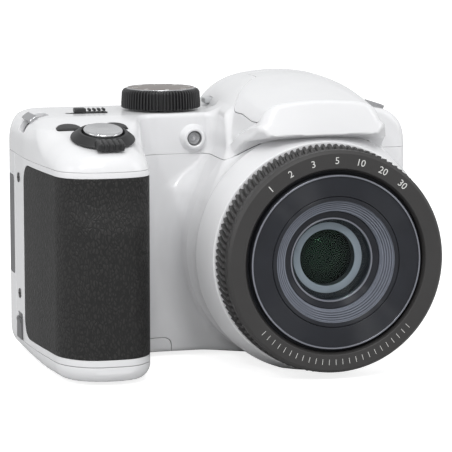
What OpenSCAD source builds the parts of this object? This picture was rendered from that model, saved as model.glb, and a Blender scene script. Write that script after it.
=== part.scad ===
// Bridge camera with a deep battery grip, a stepped zoom lens and a pop-up flash.
// The lens looks along -Y, the grip is at -X and the camera stands on z = 0.
// The origin is the tripod socket, which sits under the lens axis. All sizes in mm.

/* [Body] */
// Distance from the lens axis to the grip end
body_left = 79.5; // [76:0.5:90]
// Distance from the lens axis to the other end
body_right = 35.7; // [35:0.1:45]
// Distance from the tripod socket forward to the front wall
front_wall = 12; // [11:0.5:16]
// Distance from the tripod socket back to the rear face
body_back = 18; // [17.5:0.5:24]
// Height of the shoulders
shoulder_h = 71.5; // [70:0.5:80]
// Height of the parting line below the top cover
seam_h = 59; // [57.5:0.5:62]
// Distance from the tripod socket back to the parting line of the front and rear covers
split_back = 4; // [3:0.5:5]
// Wall thickness of the covers
wall = 1.8; // [1.4:0.1:2]
// Gap along every parting line
seam_gap = 0.2; // [0.1:0.05:0.3]

/* [Hump] */
// Height of the flash hump
hump_h = 81.5; // [80.5:0.5:90]
// Half width of the hump where it meets the shoulders
hump_half_w = 25.5; // [25:0.5:28]
// Half width of the brow over the lens
brow_half_w = 17.5; // [15:0.5:20]
// Reach of the brow ahead of the front wall
brow_reach = 31; // [29:0.5:32]
// Height of the lower edge of the brow
brow_h = 66.5; // [66:0.25:68]

/* [Grip] */
// Reach of the grip ahead of the front wall
grip_depth = 38.3; // [37:0.1:44]
// Distance from the lens axis to the inner corner of the grip nose
grip_inner = 50.5; // [48.5:0.5:51]
// Distance from the lens axis to the finger valley
grip_valley = 46; // [44:0.5:46.5]
// Amount by which the outer side of the grip closes in towards its nose
grip_taper = 5; // [3:0.5:9]
// Forward slope of the grip top in degrees
grip_slope = 13; // [8:0.5:14]
// Thickness of the leatherette skin
skin_t = 0.7; // [0.5:0.1:0.9]
// Lower edge of the skin
skin_bottom = 7; // [6:0.5:12]
// Distance of the upper edge of the skin below the parting line
skin_top_gap = 1.7; // [1.5:0.1:8]

/* [Lens] */
// Height of the lens axis
lens_h = 33; // [32.5:0.25:34]
// Radius of the smooth front of the lens ring
ring_r = 31.2; // [30:0.1:31.8]
// Radius over the teeth of the lens ring
knurl_r = 32; // [31.9:0.1:32.4]
// Number of teeth on the lens ring
knurl_count = 108; // [60:1:120]
// Reach of the lens ring ahead of the front wall
ring_reach = 46; // [45:0.5:50]
// Depth of the lens ring
ring_len = 11.7; // [10:0.1:12.5]
// Depth of the toothed band
knurl_len = 7.9; // [5:0.1:9]
// Radius of the crease around the lens collar
collar_r = 35; // [34:0.25:35.5]
// Radius of the sliding zoom tube
tube_r = 24.6; // [23:0.1:25]
// Travel of the zoom tube
tube_travel = 22; // [10:0.5:24]
// Radius of the front tube
front_tube_r = 18.4; // [17:0.1:19]
// Travel of the front tube in the zoom tube
front_travel = 16; // [8:0.5:18]
// Radius of the front glass
glass_r = 11.5; // [10:0.1:12]
// Wall thickness of the lens tubes
tube_wall = 1.2; // [1:0.1:1.5]

/* [Top controls] */
// Distance of the mode dial from the lens axis
dial_x = 36; // [35.5:0.5:37]
// Radius of the mode dial
dial_r = 11.5; // [10:0.1:11.6]
// Height of the mode dial
dial_h = 5.6; // [4:0.2:8]
// Number of flutes on the mode dial
dial_flutes = 56; // [30:1:70]
// Distance of the shutter button from the lens axis
shutter_x = 61; // [60:0.25:62.5]
// Distance of the shutter button ahead of the front wall
shutter_ahead = 22; // [21:0.5:24]
// Radius of the shutter button
shutter_r = 5.5; // [5:0.1:5.8]
// Radius of the zoom lever
lever_r = 9.1; // [8.6:0.1:9.6]
// Radius of the two buttons behind the shutter button
top_button_r = 3.6; // [3:0.1:3.9]
// Length of the power switch
switch_len = 9.6; // [8:0.2:11]
// Travel of the power switch
switch_travel = 2.4; // [1.5:0.1:3]

/* [Battery] */
// Radius of a cell
cell_r = 7.25; // [6.9:0.05:7.3]
// Length of a cell
cell_len = 50.5; // [48:0.5:51]
// Height of the battery door
door_h = 5; // [4.4:0.1:5.2]
// Distance from the lens axis to the door hinge
door_hinge_x = 37; // [36.7:0.1:38.5]

/* [Rear] */
// Width of the screen window
window_w = 64; // [56:1:66]
// Height of the screen window
window_h = 49; // [44:1:51]
// Radius of the four-way pad
pad_r = 9.5; // [8.5:0.25:10.5]
// Radius of the small rear buttons
rear_button_r = 3.2; // [2.5:0.1:3.6]

/* [Tripod socket] */
// Radius inside the thread crests of the quarter-inch socket
socket_r = 2.55; // [2.5:0.01:2.6]
// Depth of the threaded hole
socket_depth = 5.5; // [5:0.1:6.5]

/* [Hidden] */
$fn = 64;

// Clearances: flat faces, round running fits and free movement
fit = 0.1;
run = 0.05;
free = 0.3;
// Oversize of a cutting tool past the face that it cuts
over = 1;

// Places along the lens axis, front to back
wall_y = -front_wall;
nose_y = wall_y - grip_depth;
ring_y = wall_y - ring_reach;
ring_back = ring_y + ring_len;
collar_len = 9.9;
crease_y = ring_back + collar_len;
brow_y = wall_y - brow_reach;
rear_in = body_back - wall;
nose_h = shoulder_h - grip_depth * tan(grip_slope);
hump_flat = hump_half_w - 5;
taper_y = wall_y - 15;
skin_top = seam_h - skin_top_gap;

// Outlines as corners [a, b, corner radius], counter-clockwise
plan = [
    [body_right, wall_y, 5], [body_right, body_back, 8], [-body_left, body_back, 9],
    [-body_left, taper_y, 40], [-body_left + grip_taper, nose_y, 14.5], [-grip_inner, nose_y, 9.5],
    [-grip_valley, wall_y, 7]
];
round_left = 10;
round_right = 12.5;
elevation = [
    [-body_left, 0, 5], [body_right, 0, 4], [body_right, shoulder_h, round_right],
    [-body_left, shoulder_h, round_left]
];
profile = [
    [nose_y, 0, 2.5], [body_back, 0, 3], [body_back, shoulder_h, 4], [wall_y, shoulder_h, 12],
    [nose_y, nose_h, 7]
];
hump_elevation = [
    [-hump_half_w - 1, brow_h - 20, 0], [hump_half_w + 1, brow_h - 20, 0],
    [hump_half_w, shoulder_h - 2, 12], [hump_flat, hump_h - 3, 8], [0, hump_h + 0.6, 40],
    [-hump_flat, hump_h - 3, 8], [-hump_half_w, shoulder_h - 2, 12]
];
hump_plan = [
    [-brow_half_w, brow_y, 3], [brow_half_w, brow_y, 3], [hump_half_w, wall_y - 4, 10],
    [hump_half_w, body_back - 1, 6], [-hump_half_w, body_back - 1, 6], [-hump_half_w, wall_y - 4, 10]
];
// Side view of the hump. The drop carries its front wall and floor down below the brow.
lid_front = brow_y + 11;
lid_front_h = hump_h - 5.7;
function hump_profile(drop) = concat(
    drop > 0 ? [[brow_y, brow_h - drop, 0]] : [],
    [
        [body_back - 6, brow_h - 6 - drop, 0], [body_back - 1, shoulder_h - 3, 6], [8, hump_h, 14],
        [-8, hump_h, 40], [lid_front, lid_front_h, 3], [brow_y, brow_h, 1]
    ]
);

// Geometry helpers
function unit(v) = v / norm(v);
function left_of(v) = [-v[1], v[0]];
function flat_xy(c) = [c[0], c[1]];
function line_meet(p, u, q, w) = p + u * (cross(q - p, w) / cross(u, w));
// Corners moved inwards by d, with their radii following
function inset(c, d) = [
    for (i = [0:len(c) - 1])
        let (
            p = flat_xy(c[(i + len(c) - 1) % len(c)]),
            q = flat_xy(c[i]),
            s = flat_xy(c[(i + 1) % len(c)]),
            u = unit(q - p),
            w = unit(s - q),
            m = line_meet(q + d * left_of(u), u, q + d * left_of(w), w)
        )
        [m[0], m[1], c[i][2] == 0 ? 0 : max(c[i][2] - d * sign(cross(u, w)), 0.2)]
];
// Points along one rounded corner
function corner_arc(p, q, s, r) =
    let (
        u = unit(q - p),
        w = unit(s - q),
        turn = acos(max(-1, min(1, u * w))),
        side = sign(cross(u, w)),
        start = q - u * r * tan(turn / 2),
        centre = start + side * r * left_of(u),
        steps = max(2, ceil(turn / 11))
    )
    [
        for (k = [0:steps])
            let (a = side * turn * k / steps, v = start - centre)
            centre + [v[0] * cos(a) - v[1] * sin(a), v[0] * sin(a) + v[1] * cos(a)]
    ];
function rounded(c) = [
    for (i = [0:len(c) - 1])
        let (
            p = flat_xy(c[(i + len(c) - 1) % len(c)]),
            q = flat_xy(c[i]),
            s = flat_xy(c[(i + 1) % len(c)])
        )
        each (c[i][2] > 0 ? corner_arc(p, q, s, c[i][2]) : [q])
];

// Prisms along each axis, and a box between two corners
module along_z(c, z0, z1) translate([0, 0, z0]) linear_extrude(z1 - z0) polygon(rounded(c));
module along_y(c, y0, y1)
    translate([0, y1, 0]) rotate([90, 0, 0]) linear_extrude(y1 - y0) polygon(rounded(c));
module along_x(c, x0, x1)
    translate([x0, 0, 0]) rotate([90, 0, 90]) linear_extrude(x1 - x0) polygon(rounded(c));
module box(low, high) translate(low) cube(high - low);
// Round bars along Y and X between two ends
module bar_y(x, z, r, y0, y1) translate([x, y0, z]) rotate([-90, 0, 0]) cylinder(h = y1 - y0, r = r);
module bar_x(y, z, r, x0, x1) translate([x0, y, z]) rotate([0, 90, 0]) cylinder(h = x1 - x0, r = r);
// Revolved outline [radius, y] about the lens axis
module lens_turned(outline)
    translate([0, 0, lens_h]) rotate([-90, 0, 0]) rotate_extrude($fn = 96) polygon(outline);
// Toothed disc outline: count teeth between two radii
module toothed(count, r_low, r_high, land = 0.3)
    polygon([
        for (i = [0:count - 1], k = [0:3])
            let (a = 360 / count * (i + [0, land, 0.5, 0.5 + land][k]), r = k < 2 ? r_high : r_low)
            r * [cos(a), sin(a)]
    ]);
// Frame on the sloping grip top, with its Z square to the slope
module on_slope(x, ahead)
    translate([x, wall_y - ahead, shoulder_h - ahead * tan(grip_slope)]) rotate([grip_slope, 0, 0])
        children();

// Main forms
far = 200;
module body_form(d) intersection() {
    along_z(inset(plan, d), -over, shoulder_h + over);
    along_y(inset(elevation, d), nose_y - over, body_back + over);
    along_x(inset(profile, d), -body_left - over, body_right + over);
}
module hump_form(d, drop = 0) intersection() {
    along_x(inset(hump_profile(drop), d), -hump_half_w - 2, hump_half_w + 2);
    along_y(inset(hump_elevation, d), brow_y - over, body_back + over);
    along_z(inset(hump_plan, d), seam_h - 20, hump_h + over);
}
// Lens collar of the front cover, grown by d for the cover that goes round it, or shrunk for its hollow
collar_back_r = collar_r + 0.6;
module collar_form(d) intersection() {
    lens_turned([
        [0, ring_back + fit - d], [ring_r + 1.1 + d, ring_back + fit - d], [collar_r + d, crease_y],
        [collar_back_r + d, wall_y + wall / 2], [0, wall_y + wall / 2]
    ]);
    box([-far, ring_y - far, -d], [body_right + d, far, brow_h - 0.3 + d]);
}
barrel_r = tube_r + 2.7;
collar_bore = barrel_r + 1.2;

// Battery door and its hinge
door_back = 2;
door_hinge_h = 1;
door_pin_r = 0.5;
hinge_room = 1.5;
door_end = -door_hinge_x + 0.4;
ear_len = 1.6;
door_mid = (wall_y + wall + door_back) / 2;
door_knuckle_half = (door_back - wall_y - wall) / 2 - ear_len - 3 * free;
module door_zone(g)
    box([-far, nose_y - over, -over], [-door_hinge_x + hinge_room + g, door_back + g, door_h + g]);

// Screen, keys and their places on the rear face
window_x = body_right - 8.7 - window_w / 2;
window_z = seam_h - 2.5 - window_h / 2;
window_t = 1.3;
module screen_box(d, y0, y1)
    box([window_x - window_w / 2 + d, y0, window_z - window_h / 2 + d],
        [window_x + window_w / 2 - d, y1, window_z + window_h / 2 - d]);
key_x = (window_x - window_w / 2 - body_left + 1) / 2;
pad_z = seam_h - 28;
key_row = 13;
key_rise = 20;
record_at = [key_x + 8.5, pad_z + key_rise];
menu_at = [key_x - 7, pad_z + key_rise - 4];
play_at = [key_x + 7, pad_z - key_row - 4];
delete_at = [key_x - 7, pad_z - key_row - 4];
set_r = 4;
key_post_x = [key_x - 10, key_x + 10.5];
key_post_z = [pad_z - 12, pad_z + 10.5];
key_post_r = 1.3;
key_board_out = [12.5, 8.5, 4.5];
key_out = 0.9;
key_travel = 0.5;
key_flange = 0.8;
flange_t = 0.7;
board_back = rear_in - 1.9;
board_t = 1;

// Side door over the sockets
port_front = split_back + 1.6;
port_back = body_back - 4;
port_low = 23;
port_high = 52;
port_t = 1.4;

// Strap lugs at the shoulder corners
lug_r = 2.9;
lug_hole = 1.6;
lug_y = -7;
lug_w = 2.4;
lug_in = 0.5;
function lug_depth(r) = r * (1 - cos(45)) + lug_in;
lug_left = [-body_left + lug_depth(round_left), shoulder_h - lug_depth(round_left)];
lug_right = [body_right - lug_depth(round_right), shoulder_h - lug_depth(round_right)];

// Pop-up flash
flash_hinge_y = 1;
flash_knuckle_r = 1.6;
flash_hinge_h = hump_h - flash_knuckle_r - 0.2;
flash_pin_r = 0.7;
flash_knuckle_half = 7.5;
flash_hinge_half = 13;
lid_t = 1.8;
lid_half_w = 19.5;
well_floor = brow_h + 0.7;
well_wall = 0.9;
well_half_w = 17.5;
well_top = lid_front_h - 3.5;
// The front edge of the lid swings ahead a little as it rises, so it has more room there.
lid_swing_gap = 0.8;
function lid_plan(front) = [
    [-lid_half_w, front, 1.5], [lid_half_w, front, 1.5], [lid_half_w, wall_y - 6, 6],
    [flash_hinge_half + 0.6, flash_hinge_y, 0], [-flash_hinge_half - 0.6, flash_hinge_y, 0],
    [-lid_half_w, wall_y - 6, 6]
];
release_at = [wall_y, shoulder_h + 2.3];
release_half = [2, 0.9];
release_x = -hump_half_w + 0.1;
release_stop = [-lid_half_w - 0.7, -lid_half_w - 0.2];
release_lip = [0.8, 0.3];

// Lamp that helps to focus in the dark
lamp_x = -29.3;
lamp_z = shoulder_h - 7.9;
lamp_r = 2.1;
lamp_out = 0.7;
bezel_r = lamp_r + 1.9;
bezel_rim_r = lamp_r + 0.8;
bezel_out = 2.1;
mic_x = 30.7;
mic_z = seam_h - 3.4;
mic_r = 1.4;
mic_gap = 0.5;
mic_t = 2;

// Places of the top controls
button_ahead = 8;
button_left_x = -67.3;
button_right_x = -54.4;
button_depth = 3.4;
button_flange = 0.7;
hub_r = 5.1;
hub_bore = 4.5;
lever_top = 3.3;
lever_ledge = 1.2;
shutter_out = 4.1;
shutter_travel = 0.8;
dial_gap = 0.3;
dial_shaft_r = 3;
switch_x = -58;
switch_y = -4;
switch_half_w = 1.7;
switch_recess = 0.8;

// Cells in the grip, seen from above
cell_gap = 0.25;
cell_pitch = 2 * cell_r + 0.3;
pair_x = 62;
pair_half = cell_pitch / 2;
pair_y = wall_y + 1;
first_y = pair_y - cell_pitch * sin(60);
cells_at = [
    [-pair_x, first_y - cell_pitch], [-pair_x, first_y], [-pair_x - pair_half, pair_y],
    [-pair_x + pair_half, pair_y]
];
cell_low = wall + 1.1;
spring_h = 1.2;
spring_r = [2.2, 5];
bay_top = cell_low + cell_len + spring_h + 1;
latch_y = -2.2;
latch_half_y = 3.4;
latch_half_z = 3;
latch_z = door_h + free + latch_half_z;
latch_travel = 1.2;
latch_plate = 0.65;
stem_half = [1, 1.2];
screw_heights = [18.5, seam_h - 6.5];
screw_y = -2;
screw_r = 1.4;
screw_x = -body_left + 0.4;
screw_head = 0.8;
screw_len = 2;

// Lens group stack
tube_len = 38;
tube_face = 2;
front_tube_len = 32;
baffle_len = 3;
baffle_r_in = glass_r + 2.3;
retainer_front = ring_y + 4.8;
retainer_len = 4.2;
retainer_rear = 3.5;
stop_r = glass_r - 3.4;
glass_t = 2.1;
barrel_back = board_back - board_t - 4.1;
flange_r = lens_h - wall - 0.7;
flange_back = 1.6;
barrel_body_r = 22;
barrel_body_wall = 2;
barrel_mask_r = 8;
sensor_board_half = [15, 13];
sensor_half = [4.5, 3.8];
motor_at = [25, 11.5];
motor_r = 5;
motor_len = 12.5;

// Covers
skin_end_x = -grip_valley - 0.5;
skin_inner_y = wall_y - 14;
skin_outer_y = wall_y + 3;
module skin_ring(d_out, d_in, grow) difference() {
    intersection() {
        along_z(inset(plan, d_out), skin_bottom - grow, skin_top + grow);
        // The skin stops short of the finger valley and of the side screws.
        along_z([[-far, nose_y - far, 0], [skin_end_x + grow, nose_y - far, 0],
            [skin_end_x + grow, skin_inner_y + grow, 0], [-pair_x, skin_inner_y + grow, 0],
            [-pair_x, skin_outer_y + grow, 0], [-far, skin_outer_y + grow, 0]], 0, far);
    }
    along_z(inset(plan, d_in), skin_bottom - over, skin_top + over);
}

module front_cover() color("white") difference() {
    union() {
        difference() {
            intersection() {
                body_form(0);
                box([-far, -far, -over], [far, split_back - seam_gap / 2, seam_h - seam_gap / 2]);
            }
            body_form(wall);
            skin_ring(-over, skin_t, fit);
            door_zone(seam_gap / 2);
        }
        difference() {
            collar_form(0);
            collar_form(-wall);
        }
        door_ears();
    }
    bar_y(0, lens_h, collar_bore, ring_y, wall_y + wall + over);
    socket_hole();
    shutter_hole();
    lamp_hole(bezel_r + fit);
    lug_slots();
    for (z = screw_heights) bar_x(screw_y, z, screw_r + fit, -body_left - over, -body_left + wall + over);
    bar_y(mic_x, mic_z, 0.5, wall_y - over, wall_y + wall + over);
    latch_slot();
    bar_y(-door_hinge_x, door_hinge_h, door_pin_r + run / 2, door_mid - far / 2, door_mid + far / 2);
    base_holes();
}
// Two ears that carry the pin of the battery door
module door_ears() for (s = [-1, 1]) {
    low = door_mid + s * (door_knuckle_half + free + ear_len / 2) - ear_len / 2;
    bar_y(-door_hinge_x, door_hinge_h, door_hinge_h, low, low + ear_len);
    box([-door_hinge_x, low, 0], [-door_hinge_x + 2.2, low + ear_len, 2 * door_hinge_h]);
}
base_screw_at = [[-20, -6], [22, -6], [-20, 9], [22, 9]];
module socket_hole() translate([0, 0, -over]) cylinder(h = wall + 2 * over, r = socket_body_r + fit);
module shutter_hole() on_slope(-shutter_x, shutter_ahead) cylinder(h = 20, r = hub_r + run, center = true);
module lamp_hole(r) bar_y(lamp_x, lamp_z, r, wall_y - bezel_out - over, wall_y + wall + over);
module base_holes() for (p = base_screw_at)
    translate([p[0], p[1], -over]) cylinder(h = wall + 2 * over, r = screw_r + fit);

module rear_cover() color("white") {
    difference() {
        intersection() {
            body_form(0);
            box([-far, split_back + seam_gap / 2, -over], [far, far, seam_h - seam_gap / 2]);
        }
        body_form(wall);
        door_zone(seam_gap / 2);
        screen_box(-fit, rear_in + 0.4, body_back + over);
        screen_box(2, rear_in - over, body_back + over);
        for (p = [record_at, menu_at, play_at, delete_at])
            bar_y(p[0], p[1], rear_button_r + free, rear_in - over, body_back + over);
        bar_y(key_x, pad_z, pad_r + free, rear_in - over, body_back + over);
        port_zone(seam_gap);
        socket_hole();
        base_holes();
    }
    // Posts that carry the key board
    for (x = key_post_x, z = key_post_z) bar_y(x, z, key_post_r, board_back + fit, rear_in + fit);
}
module port_zone(g) box(
    [-far, port_front - g, port_low - g], [-body_left + 9, port_back + g, port_high + g]);

module top_cover() color("white") difference() {
    union() {
        difference() {
            intersection() {
                union() {
                    body_form(0);
                    hump_form(0);
                }
                box([-far, -far, seam_h + seam_gap / 2], [far, far, far]);
            }
            body_form(wall);
            hump_form(wall, 15);
        }
        // Bezel round the focus lamp
        translate([lamp_x, wall_y, lamp_z]) rotate([90, 0, 0]) rotate_extrude()
            polygon(rounded([[lamp_r + run, fit - wall, 0], [bezel_r, fit - wall, 0], [bezel_r, 0.4, 0.8],
                [bezel_rim_r, bezel_out, 0.5], [lamp_r + run, bezel_out, 0.2]]));
    }
    collar_form(free);
    lamp_hole(lamp_r + run);
    along_z(inset(lid_plan(lid_front + 0.4), -free), well_floor + 2, far);
    box([-flash_hinge_half - 0.9, flash_hinge_y - over, flash_hinge_h - 3],
        [flash_hinge_half + 0.9, flash_hinge_y + flash_knuckle_r + free, far]);
    translate([-dial_x, 0, 0]) cylinder(h = far, r = dial_shaft_r + run);
    for (x = [button_left_x, button_right_x])
        on_slope(x, button_ahead) cylinder(h = 20, r = top_button_r + free, center = true);
    shutter_hole();
    switch_half = [switch_len / 2 + free, switch_half_w + free];
    box([switch_x - switch_half[0] - switch_travel, switch_y - switch_half[1], shoulder_h - switch_recess],
        [switch_x + switch_half[0], switch_y + switch_half[1], far]);
    box([switch_x - 2 - switch_travel - free, switch_y - 1 - free, shoulder_h - 2 * wall],
        [switch_x + 2 + free, switch_y + 1 + free, far]);
    box([-far, release_at[0] - release_half[0] - free, release_at[1] - release_half[1] - free],
        [release_stop[0], release_at[0] + release_half[0] + free, release_at[1] + release_half[1] + free]);
    lug_slots();
}
module lug_slots() for (p = [lug_left, lug_right])
    box([p[0] - lug_r - fit, lug_y - lug_w / 2 - fit, p[1] - lug_r - fit],
        [p[0] + lug_r + fit, lug_y + lug_w / 2 + fit, p[1] + lug_r + fit]);

module grip_skin() color([0.17, 0.16, 0.16]) skin_ring(0, skin_t - fit, 0);

module battery_door() color("white") difference() {
    union() {
        difference() {
            intersection() {
                body_form(0);
                box([-far, nose_y - over, -over],
                    [door_end, door_back - seam_gap / 2, door_h - seam_gap / 2]);
            }
            body_form(wall);
            // Room round the hinge line, apart from the front tab
            box([-door_hinge_x - hinge_room, wall_y + wall + free, -over], [0, far, door_h + over]);
            box([-door_hinge_x - hinge_room, nose_y, -over], [0, far, door_hinge_h]);
        }
        bar_y(-door_hinge_x, door_hinge_h, door_hinge_h, door_mid - door_knuckle_half,
            door_mid + door_knuckle_half);
        box([-door_hinge_x - 2, door_mid - door_knuckle_half, 0],
            [-door_hinge_x, door_mid + door_knuckle_half, wall]);
    }
    bar_y(-door_hinge_x, door_hinge_h, door_pin_r + run, wall_y + wall, far);
}
module door_contacts() color("gold") for (i = [0, 2])
    hull() for (k = [0, 1]) translate([cells_at[i + k][0], cells_at[i + k][1], wall + fit / 2])
        cylinder(h = 0.4, r = cell_r - 2, $fn = 24);

// Lens
module lens_ring() color([0.27, 0.26, 0.26]) difference() {
    union() {
        translate([0, ring_back, lens_h]) rotate([90, 0, 0])
            linear_extrude(knurl_len) toothed(knurl_count, knurl_r - 0.8, knurl_r);
        lens_turned([
            [ring_r - 3, ring_back], [ring_r, ring_back], [ring_r, ring_y + 1], [ring_r - 0.8, ring_y],
            [ring_r - 3, ring_y]
        ]);
        lens_turned([
            [tube_r + 0.9, ring_y + 0.5], [tube_r + 1.3, ring_y], [ring_r - 2.5, ring_y],
            [ring_r - 2.5, ring_y + 3], [tube_r + 0.9, ring_y + 3]
        ]);
    }
    bar_y(0, lens_h, barrel_r + fit, ring_y + 3, ring_back + over);
}
module lens_barrel() color([0.12, 0.12, 0.13]) difference() {
    lens_turned([
        [tube_r + run, ring_y + 3.2], [barrel_r, ring_y + 3.2], [barrel_r, wall_y + wall + fit],
        [flange_r, wall_y + wall + fit], [flange_r, wall_y + wall + flange_back],
        [barrel_body_r, wall_y + wall + flange_back], [barrel_body_r, barrel_back],
        [barrel_mask_r, barrel_back], [barrel_mask_r, barrel_back - 1.5],
        [barrel_body_r - barrel_body_wall, barrel_back - 1.5], [barrel_body_r - barrel_body_wall, wall_y + 1],
        [tube_r + run, wall_y]
    ]);
    // The flange is cut back to clear the side wall.
    box([body_right - wall - fit, -far, -far], [far, far, far]);
    box([-far, wall_y + wall, seam_h + 4], [far, far, far]);
}
module zoom_tube() color([0.17, 0.18, 0.21]) lens_turned([
    [front_tube_r + run, ring_y + 0.3], [tube_r - 0.7, ring_y + 0.3], [tube_r - 0.5, ring_y],
    [tube_r, ring_y + 0.2], [tube_r, ring_y + tube_len], [tube_r - tube_wall, ring_y + tube_len],
    [tube_r - tube_wall, ring_y + tube_face], [front_tube_r + run, ring_y + tube_face]
]);
module front_tube() color([0.15, 0.15, 0.17]) lens_turned([
    [front_tube_r - tube_wall, ring_y + 0.5], [front_tube_r, ring_y + 0.2],
    [front_tube_r, ring_y + front_tube_len], [front_tube_r - 2 * tube_wall, ring_y + front_tube_len],
    [front_tube_r - 2 * tube_wall, ring_y + front_tube_len - 2],
    [front_tube_r - tube_wall, ring_y + front_tube_len - 2]
]);
// Stepped cone that keeps stray light off the front glass
baffle_steps = 6;
baffle_r = front_tube_r - tube_wall - fit;
module front_baffle() color([0.45, 0.47, 0.52]) lens_turned(concat(
    [for (k = [0:baffle_steps - 1]) each [
        [baffle_r - 0.4 - (baffle_r - 0.4 - baffle_r_in) * k / baffle_steps,
            ring_y + 0.5 + baffle_len * k / baffle_steps],
        [baffle_r - 0.4 - (baffle_r - 0.4 - baffle_r_in) * k / baffle_steps,
            ring_y + 0.5 + baffle_len * (k + 0.8) / baffle_steps]
    ]],
    [
        [baffle_r_in, ring_y + 0.5 + baffle_len], [baffle_r_in, retainer_front + retainer_len],
        [baffle_r, retainer_front + retainer_len], [baffle_r, ring_y + 0.5]
    ]
));
module lens_retainer() color("dimgray") lens_turned([
    [glass_r - 0.3, retainer_front], [glass_r + 0.5, retainer_front - 0.3],
    [baffle_r_in - fit, retainer_front], [baffle_r_in - fit, retainer_front + retainer_len + retainer_rear],
    [stop_r, retainer_front + retainer_len + retainer_rear], [stop_r, retainer_front + retainer_len],
    [glass_r - 1.6, retainer_front + retainer_len], [glass_r - 0.3, retainer_front + retainer_len - 0.4],
    [glass_r - 0.3, retainer_front + glass_t + fit], [glass_r + fit, retainer_front + glass_t + fit],
    [glass_r + fit, retainer_front + 0.4], [glass_r - 0.3, retainer_front + 0.4]
]);
// Lens element with a domed front: edge radius, front edge, rise of the dome and edge thickness
function dome(r, y, rise) =
    let (big = (r * r + rise * rise) / (2 * rise), half = asin(r / big))
    [for (k = [0:8]) let (a = half * k / 8) [big * sin(a), y - rise + big * (1 - cos(a))]];
module front_glass() color([0.2, 0.3, 0.25, 0.6])
    lens_turned(concat(dome(glass_r, retainer_front + 0.6, 0.55), [[glass_r, retainer_front + glass_t],
        [0, retainer_front + glass_t]]));
rear_lens_y = retainer_front + retainer_len + retainer_rear - fit;
module rear_lens() color([0.1, 0.15, 0.12, 0.8])
    lens_turned(concat(dome(stop_r - fit, rear_lens_y - 0.8, 1.5), [[stop_r - fit, rear_lens_y],
        [0, rear_lens_y]]));
module sensor_board() color("darkgreen") {
    back = barrel_back + fit;
    box([-sensor_board_half[0], back, lens_h - sensor_board_half[1]],
        [sensor_board_half[0], back + 1.2, lens_h + sensor_board_half[1]]);
    box([-sensor_half[0], back - 1, lens_h - sensor_half[1]],
        [sensor_half[0], back, lens_h + sensor_half[1]]);
}
module zoom_motor() color("silver") {
    motor_front = wall_y + wall + flange_back + fit;
    bar_y(motor_at[0], motor_at[1], motor_r, motor_front, motor_front + motor_len);
    bar_y(motor_at[0], motor_at[1], 1.5, motor_front + motor_len, motor_front + motor_len + 3);
}

// Inner frame and electronics
chassis_back = board_back - board_t / 2 - 0.4;
frame_t = 0.8;
main_back = chassis_back - frame_t - fit;
main_t = 1.4;
main_top = lens_h + barrel_body_r + 2;
main_low = 5.5;
frame_left = -44;
frame_foot_half = 13;
module main_board() color("darkgreen")
    box([frame_left + 1, main_back - main_t, main_low], [body_right - wall - 3, main_back, main_top]);
module chassis() color("lightsteelblue") difference() {
    union() {
        box([frame_left, chassis_back - frame_t, wall + fit],
            [body_right - wall - 2, chassis_back, main_top]);
        box([-frame_foot_half, wall_y + wall + 2.5, wall + 1.5],
            [frame_foot_half, chassis_back, wall + 2.5]);
    }
    translate([0, 0, wall]) cylinder(h = 5, r = socket_body_r + fit);
}
socket_body_r = 5;
socket_flange_r = 7;
module tripod_socket() color("silver") difference() {
    union() {
        cylinder(h = socket_depth + 2, r = socket_body_r);
        translate([0, 0, wall + fit]) cylinder(h = 1.2, r = socket_flange_r);
    }
    translate([0, 0, -over]) cylinder(h = socket_depth + over, r = socket_r);
}
module battery_bay() color([0.2, 0.2, 0.22]) difference() {
    intersection() {
        union() for (p = cells_at) translate([p[0], p[1], door_h + fit])
            cylinder(h = bay_top - door_h - fit, r = cell_r + cell_gap + 1);
        body_form(wall + fit);
    }
    for (p = cells_at) translate([p[0], p[1], 0])
        cylinder(h = cell_low + cell_len + spring_h, r = cell_r + cell_gap);
}
module battery_cells() color("dimgray") for (p = cells_at) translate([p[0], p[1], cell_low]) {
    cylinder(h = cell_len - 1, r = cell_r);
    cylinder(h = cell_len, r = 2.7);
}
module battery_springs() color("silver") for (p = cells_at)
    translate([p[0], p[1], cell_low + cell_len + fit / 2])
        cylinder(h = spring_h - fit, r1 = spring_r[0], r2 = spring_r[1]);
module screen_module() color("gray") screen_box(1, chassis_back + fit, rear_in - fit);
module screen_window() color([0.05, 0.05, 0.06]) screen_box(0, rear_in + 0.4, rear_in + 0.4 + window_t);
module key_board() color("darkgreen") difference() {
    box([key_x - key_board_out[0], board_back - board_t, pad_z - key_row - key_board_out[1]],
        [window_x - window_w / 2 - 1.5, board_back, pad_z + key_rise + key_board_out[2]]);
    box([frame_left - 0.5, -far, 0], [far, chassis_back + fit, far]);
}
module port_block() color("silver") difference() {
    box([-body_left + port_t + 1.6, port_front + 0.8, port_low + 4],
        [key_x - 11, board_back - board_t - fit / 2, port_high - 4]);
    for (z = [port_low + 9, port_high - 10])
        box([-body_left, port_front + 2, z - 3.5], [-body_left + 6, port_front + 5, z + 3.5]);
}
// The capacitor lies on the upper edge of the main board, ahead of the screen.
capacitor_r = 4.2;
capacitor_len = 30;
capacitor_y = chassis_back - fit - capacitor_r;
module flash_capacitor() color([0.1, 0.1, 0.25])
    bar_x(capacitor_y, main_top + 2 * fit + capacitor_r, capacitor_r, 1 - capacitor_len / 2,
        1 + capacitor_len / 2);
module microphone() color("black")
    bar_y(mic_x, mic_z, mic_r, wall_y + wall + mic_gap, wall_y + wall + mic_gap + mic_t);
module focus_lamp() color("lightgray") {
    bar_y(lamp_x, lamp_z, lamp_r, wall_y - lamp_out, wall_y + wall + 1.5);
    bar_y(lamp_x, lamp_z, lamp_r + 1, wall_y + wall + fit, wall_y + wall + 1.5);
}
module strap_lugs() color("gray") for (p = [lug_left, lug_right]) difference() {
    bar_y(p[0], p[1], lug_r, lug_y - lug_w / 2, lug_y + lug_w / 2);
    bar_y(p[0], p[1], lug_hole, lug_y - lug_w, lug_y + lug_w);
}
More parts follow.
